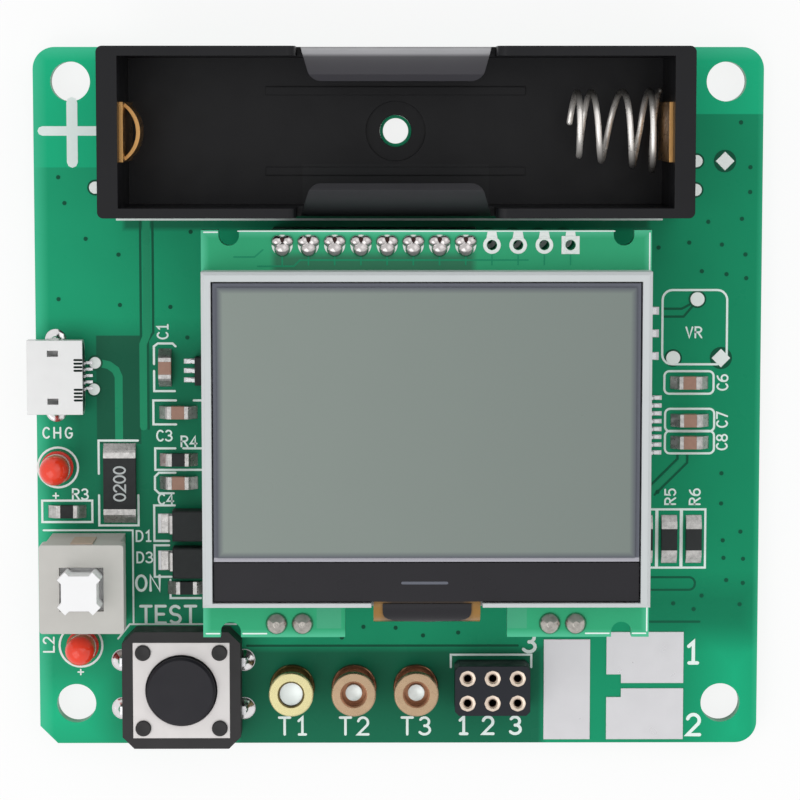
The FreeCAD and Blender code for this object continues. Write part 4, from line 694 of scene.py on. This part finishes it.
def front_copper():
    lane_gap, pad_gap, via = 0.24, 0.18, 0.22
    gaps = Print(BOARD_TOP, 0.008)
    for path in (
        [(-26.1, 18.2), (-26.1, 4.6)],
        [(-24.85, 18.2), (-24.85, 6.4), (-25.4, 5.6), (-25.4, -3.4)],
        [(24.9, -23.3), (30.8, -23.3)],
        [(-15.5, -25.75), (12.2, -25.75)],
        [(29.4, -6.1), (29.4, -6.9), (26.1, -10.2)],
        [(28.4, -6.1), (28.4, -6.5), (25.7, -9.2)],
        [(30, 9.5), (28.7, 8.8), (26.9, 8.8)],
        [(29.9, 9.2), (28.9, 8), (26.9, 8)],
    ):
        gaps.line(path, lane_gap)
    gaps.loop(rounded_box(24.6, -20, 30.3, -18.7, 0.6), 0.22)
    for x, y in HEADER:
        gaps.disc(x, y, 1.2)
    traces = Print(BOARD_TOP, 0.016)
    traces.line([(-25.5, 18.2), (-25.5, 6.2), (-25.9, 5.2), (-25.9, -3.2)], 0.75)
    traces.line([(-30.3, 3.3), (-29.4, 3.1), (-28.7, 2.6), (-28.4, 1.9), (-28.4, -4.4)], 0.8)
    traces.line([(28.9, -6.2), (28.9, -6.7), (25.9, -9.7)], 0.55)
    vias = Print(BOARD_TOP, 0.02)
    for x, y in FRONT_VIAS:
        vias.disc(x, y, via, 14)
    for x, y, radius in ROUND_PADS + DIAMOND_PADS:
        vias.disc(x, y, radius + pad_gap)
    gaps.piece("copper_gaps_front", "gap_mask", "board_green")
    traces.piece("copper_traces_front", "trace_mask", "board_green")
    vias.piece("vias_front", "via", "board_green")


# White print on the component side: words, place, height and gap, then the parts' words, place and turn

LABELS = (
    ("ON", -25.6, -19.25, 1.55, 0.28), ("TEST", -23.55, -22.5, 1.73, 0.28),
    ("CHG", -34.65, -3.8, 1.05, 0.5), ("1", 30.1, -26.5, 2.15, 0), ("2", 30.3, -34, 2.1, 0),
    ("3", 13.4, -25.4, 2, 0), ("1", 6.6, -34.05, 1.75, 0), ("2", 9.2, -34.05, 1.75, 0),
    ("3", 12, -34.05, 1.75, 0), ("+", -34.9, -10.25, 0.9, 0), ("+", -32.55, -28.45, 0.9, 0),
)
PART_LABELS = (
    ("VR", 29.95, 6.4, 0), ("C1", -23.9, 6.5, 90), ("C3", -23.8, -4.1, 0), ("R4", -21.3, -4.7, 0),
    ("C4", -23.7, -10.6, 0), ("D1", -26, -14.4, 0), ("D3", -25.9, -16.6, 0), ("R3", -32.4, -10.1, 0),
    ("L2", -35.8, -25.6, 90), ("C6", 32.9, 1.3, 90), ("C7", 32.9, -2.5, 90), ("C8", 32.9, -4.8, 90),
    ("R5", 27.7, -10.4, 90), ("R6", 30.2, -10.4, 90),
)


def front_print():
    silk = Print(BOARD_TOP, 0.03)
    thin, plain, stroke, small, large = 0.18, 0.22, 0.17, 1.05, 1.75
    silk.line([(-32.85, 23.6), (-32.85, 29.6)], 1.1)
    silk.line([(-35.85, 26.75), (-30, 26.75)], 0.95)
    silk.line([(-28.4, 18.8), (-28.4, 17.85), (26.6, 17.85)], plain)
    silk.loop(rounded_box(26.75, 3.15, 33.3, 10.7, 1), plain)
    for x, y in ((29.5, 1.3), (29.6, -2.54), (29.6, -4.8)):
        silk.loop(rounded_box(x - 2.5, y - 1.15, x + 2.5, y + 1.15, 0.5), plain)
    for x in (25.1, 27.6, 30.1):
        silk.loop(corners(x - 1.2, -17.7, x + 1.2, -11.7), plain)
    for path in (
        [(-30.5, -8), (-30.5, -4.6), (-26.5, -4.6)],
        [(-30.5, -10.2), (-30.5, -13.3), (-26.5, -13.3), (-26.5, -10.2)],
        [(-24.8, 2.5), (-24.8, 0.45), (-22.7, 0.45)],
        [(-24.8, 3.2), (-24.8, 5), (-24.4, 5.3), (-22.9, 5.3), (-22.6, 5)],
        [(-22.6, -0.5), (-24.9, -0.5), (-24.9, -2.95), (-22.6, -2.95)],
        [(-20.8, -0.5), (-19.6, -0.5)],
        [(-22.7, -5.4), (-24.75, -5.4), (-24.75, -7.6), (-19.6, -7.6)],
        [(-21.9, -5.4), (-19.6, -5.4)],
        [(-22.7, -7.9), (-24.4, -7.9), (-24.8, -8.3), (-24.8, -9.6), (-24.4, -10), (-22.9, -10)],
        [(-22.8, -11.25), (-24.9, -11.25), (-24.9, -14.9), (-23.4, -14.9)],
        [(-23.4, -15.35), (-24.9, -15.35), (-24.9, -18.6), (-23.2, -18.6)],
        [(-20.2, -20.8), (-23.3, -20.8), (-23.3, -18.9)],
    ):
        silk.line(path, plain)
    silk.loop(corners(-36.3, -12.95, -31.2, -10.75), plain)
    silk.line([(-36.2, -13.8), (-27.1, -13.8), (-27.1, -23.4)], thin)
    silk.line([(-28.7, -25), (-27.5, -23.5), (-16.6, -23.5)], thin)
    silk.line([(5.35, -28), (5.35, -26.7), (13.6, -26.7), (13.6, -28)], plain)
    for (x, y), radius in ((CHARGE_RING, 2.15), (POWER_RING, 2.3)):
        silk.ring(x, y, radius - plain, radius)
    for words, x, y, height, gap in LABELS:
        silk.text(words, x, y, height, stroke, 0, gap)
    for words, x, y, turn in PART_LABELS:
        silk.text(words, x, y, small, stroke, turn)
    for number, socket in enumerate(SOCKETS):
        silk.text("T%d" % (number + 1), socket.x, -34.1, large, gap=0.42)
    silk.piece("print_front", "silk", "white_plastic")


# Tinned pads and small solder joints on the component side

def meniscus(solid, x, y, face, way, pad, lead, height):
    """A concave solder cone from its pad's edge up to a clipped lead."""
    edge, lip, curve, steps = pad * 0.97, 0.04, 2.1, 6
    rise = [(pad, 0), (edge, lip)]
    for step in range(1, steps + 1):
        share = step / steps
        rise.append((lead + (edge - lead) * (1 - share) ** curve, lip + (height * 0.86 - lip) * share))
    rise += [(lead * 0.92, height * 0.95), (lead * 0.6, height), (0, height)]
    solid.lathe([(0, 0)] + [(radius, way * z) for radius, z in rise], x, y, 24, face)


def front_pads():
    bright = Print(BOARD_TOP, 0.035)
    for x, y, radius in ROUND_PADS:
        bright.disc(x, y, radius)
    for x, y, radius in DIAMOND_PADS:
        bright.plate([(x - radius, y), (x, y - radius), (x + radius, y), (x, y + radius)])
    bright.piece("pads_through", "pad", "solder")
    pads = Print(BOARD_TOP, 0.025)
    for x, y in HEADER:
        pads.ring(x, y, HOLE_R, 0.95)
    for x, y in SPARE_HOLES:
        pads.ring(x, y, HOLE_R, 0.9)
    for x, y in BUTTON_PINS:
        pads.disc(x, y, 1.15)
    for node, reach in (("microcontroller_leads", 0.25), ("regulator_leads", 0.3), ("boost_chip_leads", 0.25),
                        ("charger_chip_leads", 0.25), ("diode_leads", 0.3)):
        for low, high in islands(node):
            pads.plate(corners(low.x - reach, low.y - 0.05, high.x + reach, high.y + 0.05))
    pads.piece("pads_front", "tin", "solder")
    joints = Solid()
    for spots, height in ((BUTTON_PINS, 0.8), (PORT_LEGS, 0.7)):
        for x, y in spots:
            meniscus(joints, x, y, BOARD_TOP, 1, 1.1, 0.3, height)
    joints.piece("solder_front", "solder", "solder")


# The display's own board, and the bead that seals its film

def panel_details():
    left, right, low, top = PANEL_LOW.x, PANEL_HIGH.x, PANEL_LOW.y, PANEL_HIGH.y
    pads = Print(PANEL_TOP, 0.02)
    for x, y in EMPTY_HEADER:
        pads.ring(x, y, HOLE_R, 0.86)
        tab = ((-0.55, y + 0.62), (0.55, y + 0.62), (0.42, top - 0.06), (-0.42, top - 0.06))
        pads.plate([(x + across, up) for across, up in tab])
    pads.loop(corners(*HEADER[0], *HEADER[0], 0.72), 0.32)
    for x, y in HEADER[4:]:
        pads.ring(x, y, 0.3, 1.02)
    pads.piece("pads_display", "pad", "solder")
    lane, fine = 0.16, 0.14
    lines = Print(PANEL_TOP, 0.012)
    lines.line([(left + 5.5, top - 3.5), (left + 9, top - 3.5), (left + 9.6, top - 2.9),
                (right - 12, top - 2.9)], lane)
    lines.line([(left + 3.2, top - 2.6), (left + 5.2, top - 2.6), (left + 6, top - 1.9)], lane)
    for x, y in HEADER:
        lines.line([(x, y - 1), (x, y - 1.9)], lane)
    lines.piece("copper_gaps_display", "trace_mask", "board_green")
    # Pale lines along the board's edges, in the print's white: painted light where its cut edges catch the
    # light.
    silk = Print(PANEL_TOP, 0.02)
    for x0, x1 in ((left + 0.3, left + 1.6), (left + 3.9, left + 6.2), (right - 6.2, right - 3.9),
                   (right - 1.6, right - 0.3)):
        silk.line([(x0, low + 0.35), (x1, low + 0.35)], fine)
    silk.line([(left + 0.3, top - 0.2), (left + 1.6, top - 0.2)], fine)
    silk.line([(right - 0.2, top - 0.3), (right - 0.2, low + 0.6)], fine)
    silk.line([(left + 3.6, top - 0.1), (right - 3.6, top - 0.1)], 0.12)
    silk.piece("display_edge_light", "silk", "white_plastic")
    # A painted glint: a grey dash across the ledge cover.
    glint = Print(box("display_ledge_cover")[1].z, 0.01)
    glint.line([(0.3, -16.75), (4.6, -16.75)], 0.28)
    glint.piece("ledge_glint", "glass", "black_plastic")


def flex_bead():
    low, high = box("display_flex")
    bend = (high.z - low.z) / 2
    axis_y, axis_z, middle = low.y + bend, low.z + bend, (low.x + high.x) / 2
    steps, columns, reach, half_width = 8, 16, 62, 4.3
    rows = []
    for step in range(steps + 1):
        share = step / steps
        turn = radians(reach * share)
        half = half_width * (1 - share ** 5) ** 0.5 + 0.02
        row = []
        for out, way in ((bend + 0.02, 1), (bend + 0.16, -1)):
            for column in range(columns + 1):
                x = middle + way * half * (2 * column / columns - 1)
                row.append((x, axis_y - out * sin(turn), axis_z + out * cos(turn)))
        rows.append(row)
    bead = Solid()
    bead.stack(rows)
    bead.piece("flex_bead", "band", "black_plastic")


# Solder on the underside and on the display's pins: turned forms as radius and height over their face

PIN_END = [(0, 0), (0.26, 0), (0.26, 0.4), (0.2, 0.46), (0, 0.46)]
HEADER_BLOBS = ((-0.48, 0.38, 0.62, 0.55), (0.48, 0.38, 0.62, 0.5), (0, -0.35, 0.8, 0.62))
SUPPORT_JOINT = [(0, 0), (1.08, 0), (1.05, 0.16), (0.8, 0.4), (0.5, 0.62)]
SOCKET_TAIL = [(0, -0.19), (1.42, -0.19), (1.38, -0.36), (1.2, -0.42), (0, -0.44)]


def is_slot(low, high):
    return high.y - low.y > 1.2 * (high.x - low.x)


def slot_joint(solid, low, high):
    """Solder in a long hole: a rounded box that narrows away from the board."""
    outer = rounded_box(low.x, low.y, high.x, high.y, 0.35)
    inner = rounded_box(low.x + 0.5, low.y + 0.5, high.x - 0.5, high.y - 0.5, 0.3)
    levels = ((outer, 0), (outer, -0.1), (inner, -0.62), (inner, -0.66))
    solid.stack([[(x, y, z) for x, y in outline] for outline, z in levels])


def solder():
    joints, header, dull, tails, pins = (Solid() for _ in range(5))
    for low, high in islands("solder_joints"):
        x, y = (low.x + high.x) / 2, (low.y + high.y) / 2
        radius, height = (high.x - low.x) / 2, high.z - low.z
        if low.z > BOARD_TOP and y > 0:
            for across, up, size, rise in HEADER_BLOBS:
                dome = [(size * cos(a), rise * sin(a)) for a in (0, 0.35, 0.7, 1.05, 1.35)]
                header.lathe([(0, 0)] + dome + [(0, rise)], x + across, y + up, 18, low.z)
            pins.lathe(PIN_END, x, y + 0.55, 12, low.z)
        elif low.z > BOARD_TOP:
            dull.lathe(SUPPORT_JOINT + [(0.3, height), (0, height)], x, y, 20, low.z)
        elif is_slot(low, high):
            slot_joint(joints, low, high)
        elif radius > 2.0:
            collar = ((0, 0), (0, -0.12), (0.1, -0.3), (0.3, -0.38), (0.5, -0.3), (0.7, -0.2))
            profile = [(radius - inset, drop) for inset, drop in collar]
            joints.lathe([(0, 0)] + profile + [(0, -0.2)], x, y, 40)
            tails.lathe(SOCKET_TAIL, x, y)
        else:
            meniscus(joints, x, y, 0, -1, radius, 0.34, height)
    joints.piece("solder_all", "solder", "solder", replaces=["solder_joints"])
    header.piece("solder_header", "joint", "solder")
    dull.piece("solder_supports", "dull_solder", "solder")
    tails.piece("socket_tails", "copper", "brass")
    pins.piece("display_pin_ends", "bore", "brass")


# The underside of the main board: width and points of each lane of copper

BACK_TRACES = (
    (0.5, [(16.6, 14.9), (18.6, 14.9), (21.1, 12.2), (21.1, -2.8), (25.6, -7.4)]),
    (0.5, [(14.1, 14.9), (14.1, 14), (17.6, 13.9), (20.1, 11.4), (20.1, -3.2), (24.6, -7.7)]),
    (0.5, [(11.6, 14.9), (11.6, 13), (17.3, 13), (19.2, 11), (19.2, -3.4), (23.6, -7.9)]),
    (0.5, [(9, 14.9), (10.4, 12.1), (16.9, 12.1), (18.3, 10.6), (18.3, -3.8), (22.8, -8.2)]),
    (0.75, [(0.7, 11.75), (8.9, 11.75), (9.95, 10.65), (9.95, 1.5)]),
    (0.75, [(14.9, 6.6), (11.4, 6.6), (9.95, 5.2)]),
    (0.6, [(27.87, 3.8), (24.6, 3.5), (23.4, 2.5), (22.2, 2.5), (21, 1.5)]),
    (0.5, [(31.7, -1.3), (31.7, -18.9), (29.8, -20.1)]),
    (0.5, [(30.8, -0.9), (30.8, -18.2), (29.4, -19.4)]),
    (0.5, [(29.8, 0), (29.8, -17.6), (22.2, -24.8), (22.2, -31.5), (20.7, -33.1), (-2.9, -33.2)]),
    (0.5, [(21.9, -1.1), (23.8, -1.1), (25.2, 0.9), (28, 0.6), (28.7, 0), (28.7, -16.4), (26.2, -16.6),
           (18.7, -23.9)]),
    (0.5, [(27.5, -0.6), (27.5, -13.9), (26.4, -14.9), (10.3, -14.7), (8.8, -12.9), (5.3, -12.9)]),
    (0.5, [(21.9, -23.9), (19.2, -26.1), (8.3, -26.1), (6.9, -27.7)]),
    (0.4, [(6.8, -32.7), (6.65, -34.4), (5.7, -35.3)]),
    (1, [(26.1, -9.8), (19.3, -9.8), (17.8, -8.2), (1.7, -8.2), (-0.4, -10.4), (-0.2, -12.3)]),
    (0.7, [(14.7, -4.7), (14.7, -6.6), (15.8, -7.8)]),
    (0.8, [(2.9, 0.4), (5.3, 0.4), (7.3, -1.6), (7.3, -7.7)]),
    (0.5, [(18, -10.1), (15.4, -13), (11, -13), (9.3, -11.6), (4.6, -11.6), (1.8, -14.6),
           (-8.3, -25.5), (-13.4, -25.5)]),
    (0.5, [(7.1, -14.2), (3.4, -14.2), (-0.2, -17.6)]),
    (0.7, [(-6.2, 14.6), (-6.2, 11.4), (-4.8, 9.8), (-1.2, 9.9)]),
    (0.7, [(-8.9, 14.6), (-8.9, 10.2), (-7.5, 8.3), (-0.6, 8.3), (1.3, 10.5)]),
    (1, [(-13.2, 11.7), (-13.2, -9.5)]),
    (1, [(-5.1, -1.4), (-5.1, -7)]),
    (0.8, [(-16.7, 1.2), (-18.9, 1.2), (-25.6, -5.7), (-25.7, -10.8), (-26.8, -12.3)]),
    (0.8, [(-21.6, 3.3), (-21.7, 0), (-28.6, -6.6), (-33.9, -6.6)]),
    (0.8, [(-23.6, -5.6), (-23.6, -19.7), (-25.8, -21.3), (-28.6, -21.3)]),
    (0.8, [(-31.3, -11.8), (-31.4, -20.2), (-33.4, -21.7), (-34.4, -21.7)]),
    (0.8, [(-3.4, -11.8), (-5.5, -14.3), (-5.5, -20.2), (-9.3, -24), (-31.6, -24)]),
    (0.5, [(-4.2, -14.9), (-4.2, -20.4), (-9.3, -25.3)]),
    (0.7, [(-16.9, -27.5), (-27.1, -27.5)]),
)
BACK_VIAS = (
    (20, 30.7), (11.5, 31), (-14, 31.2), (-28, 28.4), (24.5, 28), (16, 27.8), (-18.6, 21),
    (-24, 20.2), (34, 15.4), (31, 13.3), (22, 15.2), (26, 8.6), (24, 9.6), (-20, 9),
    (-23.6, 9.2), (33.5, -14), (34, -16.6), (32, -21), (26, -21.4), (21, -19.6), (7, -19),
    (-11, -15), (-12.2, -18.2), (-14.6, -2), (-30.5, -15.6), (-17.5, -21), (2.5, 5),
    (-26, 14), (33, -8),
)


def back_layers():
    rings, gaps, lanes, holes = (Print(0, height, -1) for height in (0.03, 0.008, 0.018, 0.026))
    lane_gap, pad_gap, widest_pad, peg = 0.34, 0.24, 0.75, 4.5
    for width, path in BACK_TRACES:
        gaps.line(path, width + lane_gap)
        lanes.line(path, width)
    for low, high in islands("solder_joints"):
        if high.z > BOARD_TOP:
            continue
        if is_slot(low, high):
            holes.plate(corners(low.x, low.y, high.x, high.y, 0.25))
            continue
        x, y, radius = (low.x + high.x) / 2, (low.y + high.y) / 2, (high.x - low.x) / 2
        rings.ring(x, y, radius * 0.6, radius + 0.1)
        holes.disc(x, y, radius + pad_gap)
    for x, y in EMPTY_HEADER + SPARE_HOLES:
        holes.ring(x, y, HOLE_R, 1)
        rings.ring(x, y, HOLE_R, 0.82)
    for x, y in (HEADER[0], SPARE_HOLES[1]):
        rings.loop(corners(x, y, x, y, 0.68), 0.3)
    for x, y, radius in ROUND_PADS + DIAMOND_PADS:
        holes.disc(x, y, min(radius, widest_pad) + pad_gap)
        rings.disc(x, y, min(radius, widest_pad))
    for x, y in ((26.46, 30.76), (-26.94, 30.8)):
        rings.ring(x, y, 0.3, 0.55)
        holes.disc(x, y, 0.72)
    for y in (BUTTON.y - peg, BUTTON.y + peg):
        gaps.ring(BUTTON.x, y, 0.95, 1.2)
    for x, y in BACK_VIAS:
        holes.disc(x, y, 0.17, 12)
    gaps.piece("copper_gaps_back", "gap_mask", "board_green")
    lanes.piece("copper_traces_back", "back_mask", "board_green")
    holes.piece("vias_back", "hole", "board_green")
    rings.piece("pads_back", "tin", "solder")
    silk = Print(0, 0.035, -1)
    silk.ring(-0.3, 26.67, 3, 3.25)
    silk.loop(corners(28.9, 22.4, 34, 25.4), 0.2)
    silk.piece("print_back", "silk", "white_plastic")


# Turned test sockets and strip contacts

def test_sockets():
    bore, lip, depth, flange, barrel, tail = 1.2, 1.36, 1.5, 2.25, 1.7, 1.3
    fills = (("brass", 0.4), ("copper", 1), ("copper", 1))
    for number, (spot, (look, fill)) in enumerate(zip(SOCKETS, fills), 1):
        name = "test_socket_%d" % number
        low, high = box(name)
        foot, top, base, neck = (high.x - low.x) / 2, high.z, high.z - depth, BOARD_TOP + 0.5
        head = Solid()
        head.lathe([(lip, -0.8), (lip, 0), (flange - 0.12, 0), (flange, -0.12), (flange, -0.7),
                    (flange - 0.1, -0.8)], spot.x, spot.y, 48, top, closed=True)
        head.piece(name + "_head", look, "brass")
        body = Solid()
        body.lathe([(0, base), (bore, base), (bore, top - 0.1), (bore + 0.06, top - 0.04),
                    (lip - 0.01, top - 0.02), (lip - 0.01, top - 0.81), (barrel, top - 0.81), (barrel, neck),
                    (foot - 0.08, neck), (foot, neck - 0.08), (foot, BOARD_TOP), (tail, BOARD_TOP), (tail, 0),
                    (0, 0)], spot.x, spot.y, 48)
        body.piece(name + "_turned", "dark_" + look, "brass", replaces=[name])
        cup = Solid()
        wide = bore - 0.03 if fill < 0.5 else 0.84
        cup.lathe([(0, base + 0.01), (wide, base + 0.01), (wide, top - fill), (wide * 0.8, top - fill - 0.1),
                   (0, top - fill - 0.14)], spot.x, spot.y)
        cup.piece(name + "_solder", "pad", "solder")


def strip_contacts():
    rings, bores = Solid(), Solid()
    top = box("socket_strip_contacts")[1].z
    for x, y in STRIP:
        rings.lathe([(0, 1.8), (0.39, 1.8), (0.39, top - 0.2), (0.52, top - 0.04), (0.58, top), (0.8, top),
                     (0.85, top - 0.05), (0.85, 1.65), (0.3, 1.6), (0.3, 0), (0, 0)], x, y, 28)
        bores.lathe([(0, 1.82), (0.385, 1.82), (0.385, top - 0.22), (0.365, top - 0.22), (0.365, 1.85),
                     (0, 1.85)], x, y, 20)
    rings.piece("strip_contacts_turned", "pale_brass", "brass", replaces=["socket_strip_contacts"])
    bores.piece("strip_bores", "bore", "brass")


# Lamps

def lamps():
    for name in ("charge_led", "power_led"):
        low, high = box(name)
        top, radius, foot = high.z, 1.5, 1.65
        x, y = (low.x + high.x) / 2, low.y + foot
        dome = [(radius * cos(radians(a)), top - radius + radius * sin(radians(a)))
                for a in range(0, 90, 10)]
        lens = Solid()
        flange = [(0, low.z), (foot - 0.08, low.z), (foot, low.z + 0.08), (foot, low.z + 0.9),
                  (foot - 0.08, low.z + 1), (radius, low.z + 1.02)]
        lens.lathe(flange + dome + [(0, top)], x, y, 40)
        lens.piece(name + "_lens", "lens", "red_lens", replaces=[name])


# Wound springs

def cell_spring():
    axis_y, axis_z, seat, travel = 26.75, 10.05, 25.55, 5.0
    base_radius, tip_radius, thickness = 4, 2.9, 0.6
    close_pitch, open_pitch, close_quarters, open_quarters = 1.3, 3.1, 5, 7
    bend, lean = 0.9, 0.07
    quarters = close_quarters * 2 + open_quarters
    steps_each = 10
    path, x = [], seat
    for step in range(quarters * steps_each + 1):
        quarter = step / steps_each
        radius = base_radius + (tip_radius - base_radius) * quarter / quarters
        turn = radians(-90 * quarter)
        side = radius * cos(turn)
        leaning = lean * min(quarter / close_quarters, 1)
        middle = axis_y + bend * quarter / quarters
        path.append((x + leaning * side, middle + side, axis_z + radius * sin(turn)))
        opened = close_quarters <= quarter < close_quarters + open_quarters
        x -= (open_pitch if opened else close_pitch) / 4 / steps_each
    coil = Solid()
    coil.tube(path, thickness / 2, 16)
    made = coil.piece("cell_spring_coil", "coil", "spring_steel", "cell_spring", ["negative_spring"])
    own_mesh(made)


def switch_spring():
    low, high = box("switch_return_spring")
    thickness, turns, press = 0.36, 6, 2.0
    radius = (high.x - low.x) / 2 - thickness / 2
    middle = (low + high) / 2
    rise = high.z - low.z - thickness
    count = turns * 28
    path = []
    for step in range(count + 1):
        turn = 2 * pi * turns * step / count
        path.append((middle.x + radius * cos(turn), middle.y + radius * sin(turn),
                     low.z + thickness / 2 + rise * step / count))
    coil = Solid()
    coil.tube(path, thickness / 2, 10)
    made = coil.piece("switch_spring_coil", "spring", "spring_steel", replaces=["switch_return_spring"])
    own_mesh(made)


# Small things on the parts

def shunt_numbers():
    spot = centre("shunt_resistor_body")
    numbers = Print(box("shunt_resistor_body")[1].z, 0.008)
    numbers.text("0200", spot.x, spot.y, 1.15, 0.16, 90, 0.2)
    numbers.piece("shunt_numbers", "frame", "white_plastic")


def button_rivets():
    half, low, high = 7.75 / 2, box("button_cover")[1].z, box("button_base")[1].z
    head = [(0, low), (0.8, low), (0.8, high - 0.02), (0.72, high + 0.06), (0.5, high + 0.06),
            (0.4, high + 0.02), (0, high + 0.02)]
    rivets = Solid()
    for x, y in corners(BUTTON.x, BUTTON.y, BUTTON.x, BUTTON.y, half):
        rivets.lathe(head, x, y, 28)
    rivets.piece("button_rivets", "base", "black_plastic")


def port_folds():
    folds = Print(box("usb_shell")[1].z, 0.006)
    spacing, width = 0.36, 0.22
    for start in (2.75, -0.25):
        for step in range(4):
            y = start + step * spacing
            folds.line([(-32.6, y), (-31.9, y)], width)
    folds.piece("port_folds", "hole", "steel")


def switch_latch():
    low, high = box("switch_housing")
    middle, half, proud = (low.x + high.x) / 2, 1.1, 0.12
    latch = Solid()
    latch.prism(corners(middle - half, high.y, middle + half, high.y + proud), low.z + 3.4, high.z - 0.6)
    latch.piece("switch_latch", "latch", "switch_grey")


def screw_hole_lip():
    spot, inner, outer, low, high = centre("battery_holder"), 1.28, 1.59, 0.02, BOARD_TOP - 0.02
    lip = Solid()
    lip.lathe([(inner, low), (outer, low), (outer, high), (inner, high)], spot.x, spot.y, 40, closed=True)
    lip.piece("screw_hole_lip", "board", "board_green")


for build in (front_copper, front_print, front_pads, panel_details, flex_bead, solder, back_layers,
              test_sockets, strip_contacts, lamps, cell_spring, switch_spring, shunt_numbers, button_rivets,
              port_folds, switch_latch, screw_hole_lip):
    build()


# Floor, light and camera

def backdrop_share(tree):
    """1 for rays that should see the plain white ground: from the camera, in gloss and through glass."""
    path = tree.nodes.new("ShaderNodeLightPath").outputs
    share = path["Is Camera Ray"]
    for name in ("Is Glossy Ray", "Is Transmission Ray"):
        share = wire(tree, "ShaderNodeMath", share, path[name], operation="MAXIMUM")
    return share


def floor():
    half, gap, seen_share = 1.5, 0.00002, 0.85
    level = cad_box[0][2] - gap
    mesh = bpy.data.meshes.new("floor")
    mesh.from_pydata([(x, y, level) for x, y in corners(-half, -half, half, half)], [], [(0, 1, 2, 3)])
    plane = bpy.data.objects.new("floor", mesh)
    bpy.context.scene.collection.objects.link(plane)
    paint = bpy.data.materials.new("floor_white")
    paint.use_nodes = True
    tree = paint.node_tree
    tree.nodes.remove(tree.nodes["Principled BSDF"])
    share = wire(tree, "ShaderNodeMath", backdrop_share(tree), seen_share, operation="MULTIPLY")
    matt = wire(tree, "ShaderNodeBsdfDiffuse", (0.95, 0.95, 0.95, 1))
    glow = wire(tree, "ShaderNodeEmission")
    mix = wire(tree, "ShaderNodeMixShader", share, matt, glow)
    tree.links.new(mix, tree.nodes["Material Output"].inputs["Surface"])
    mesh.materials.append(paint)


def light():
    world = bpy.data.worlds.new("studio")
    bpy.context.scene.world = world
    world.use_nodes = True
    tree = world.node_tree
    white = (1, 1, 1, 1)
    soft = tree.nodes["Background"]
    soft.inputs["Color"].default_value = white
    soft.inputs["Strength"].default_value = 0.74
    ground = wire(tree, "ShaderNodeBackground", white)
    mix = wire(tree, "ShaderNodeMixShader", backdrop_share(tree), soft.outputs[0], ground)
    tree.links.new(mix, tree.nodes["World Output"].inputs["Surface"])
    for name, place, watts in (("key", (-0.28, -0.22, 0.5), 1), ("fill", (0.3, 0.25, 0.55), 0.42)):
        lamp = bpy.data.lights.new(name, "AREA")
        lamp.size = 0.5
        lamp.energy = watts
        made = bpy.data.objects.new(name, lamp)
        made.location = place
        made.rotation_euler = (-Vector(place)).to_track_quat("-Z", "Y").to_euler()
        bpy.context.scene.collection.objects.link(made)


def camera():
    eye = Vector((-1.714, 29.504, 304.866)) * MM
    aim = Vector((0.146, -0.476, 1.6)) * MM
    made = bpy.data.objects.new("camera", bpy.data.cameras.new("camera"))
    made.data.lens = 135
    made.data.sensor_width = 36
    made.data.clip_start = 0.01
    back = (eye - aim).normalized()
    right = Vector((0, 1, 0)).cross(back).normalized()
    made.location = eye
    made.rotation_euler = Matrix((right, back.cross(right), back)).transposed().to_euler()
    bpy.context.scene.collection.objects.link(made)
    bpy.context.scene.camera = made


floor()
light()
camera()
bpy.context.scene.view_settings.view_transform = "Standard"
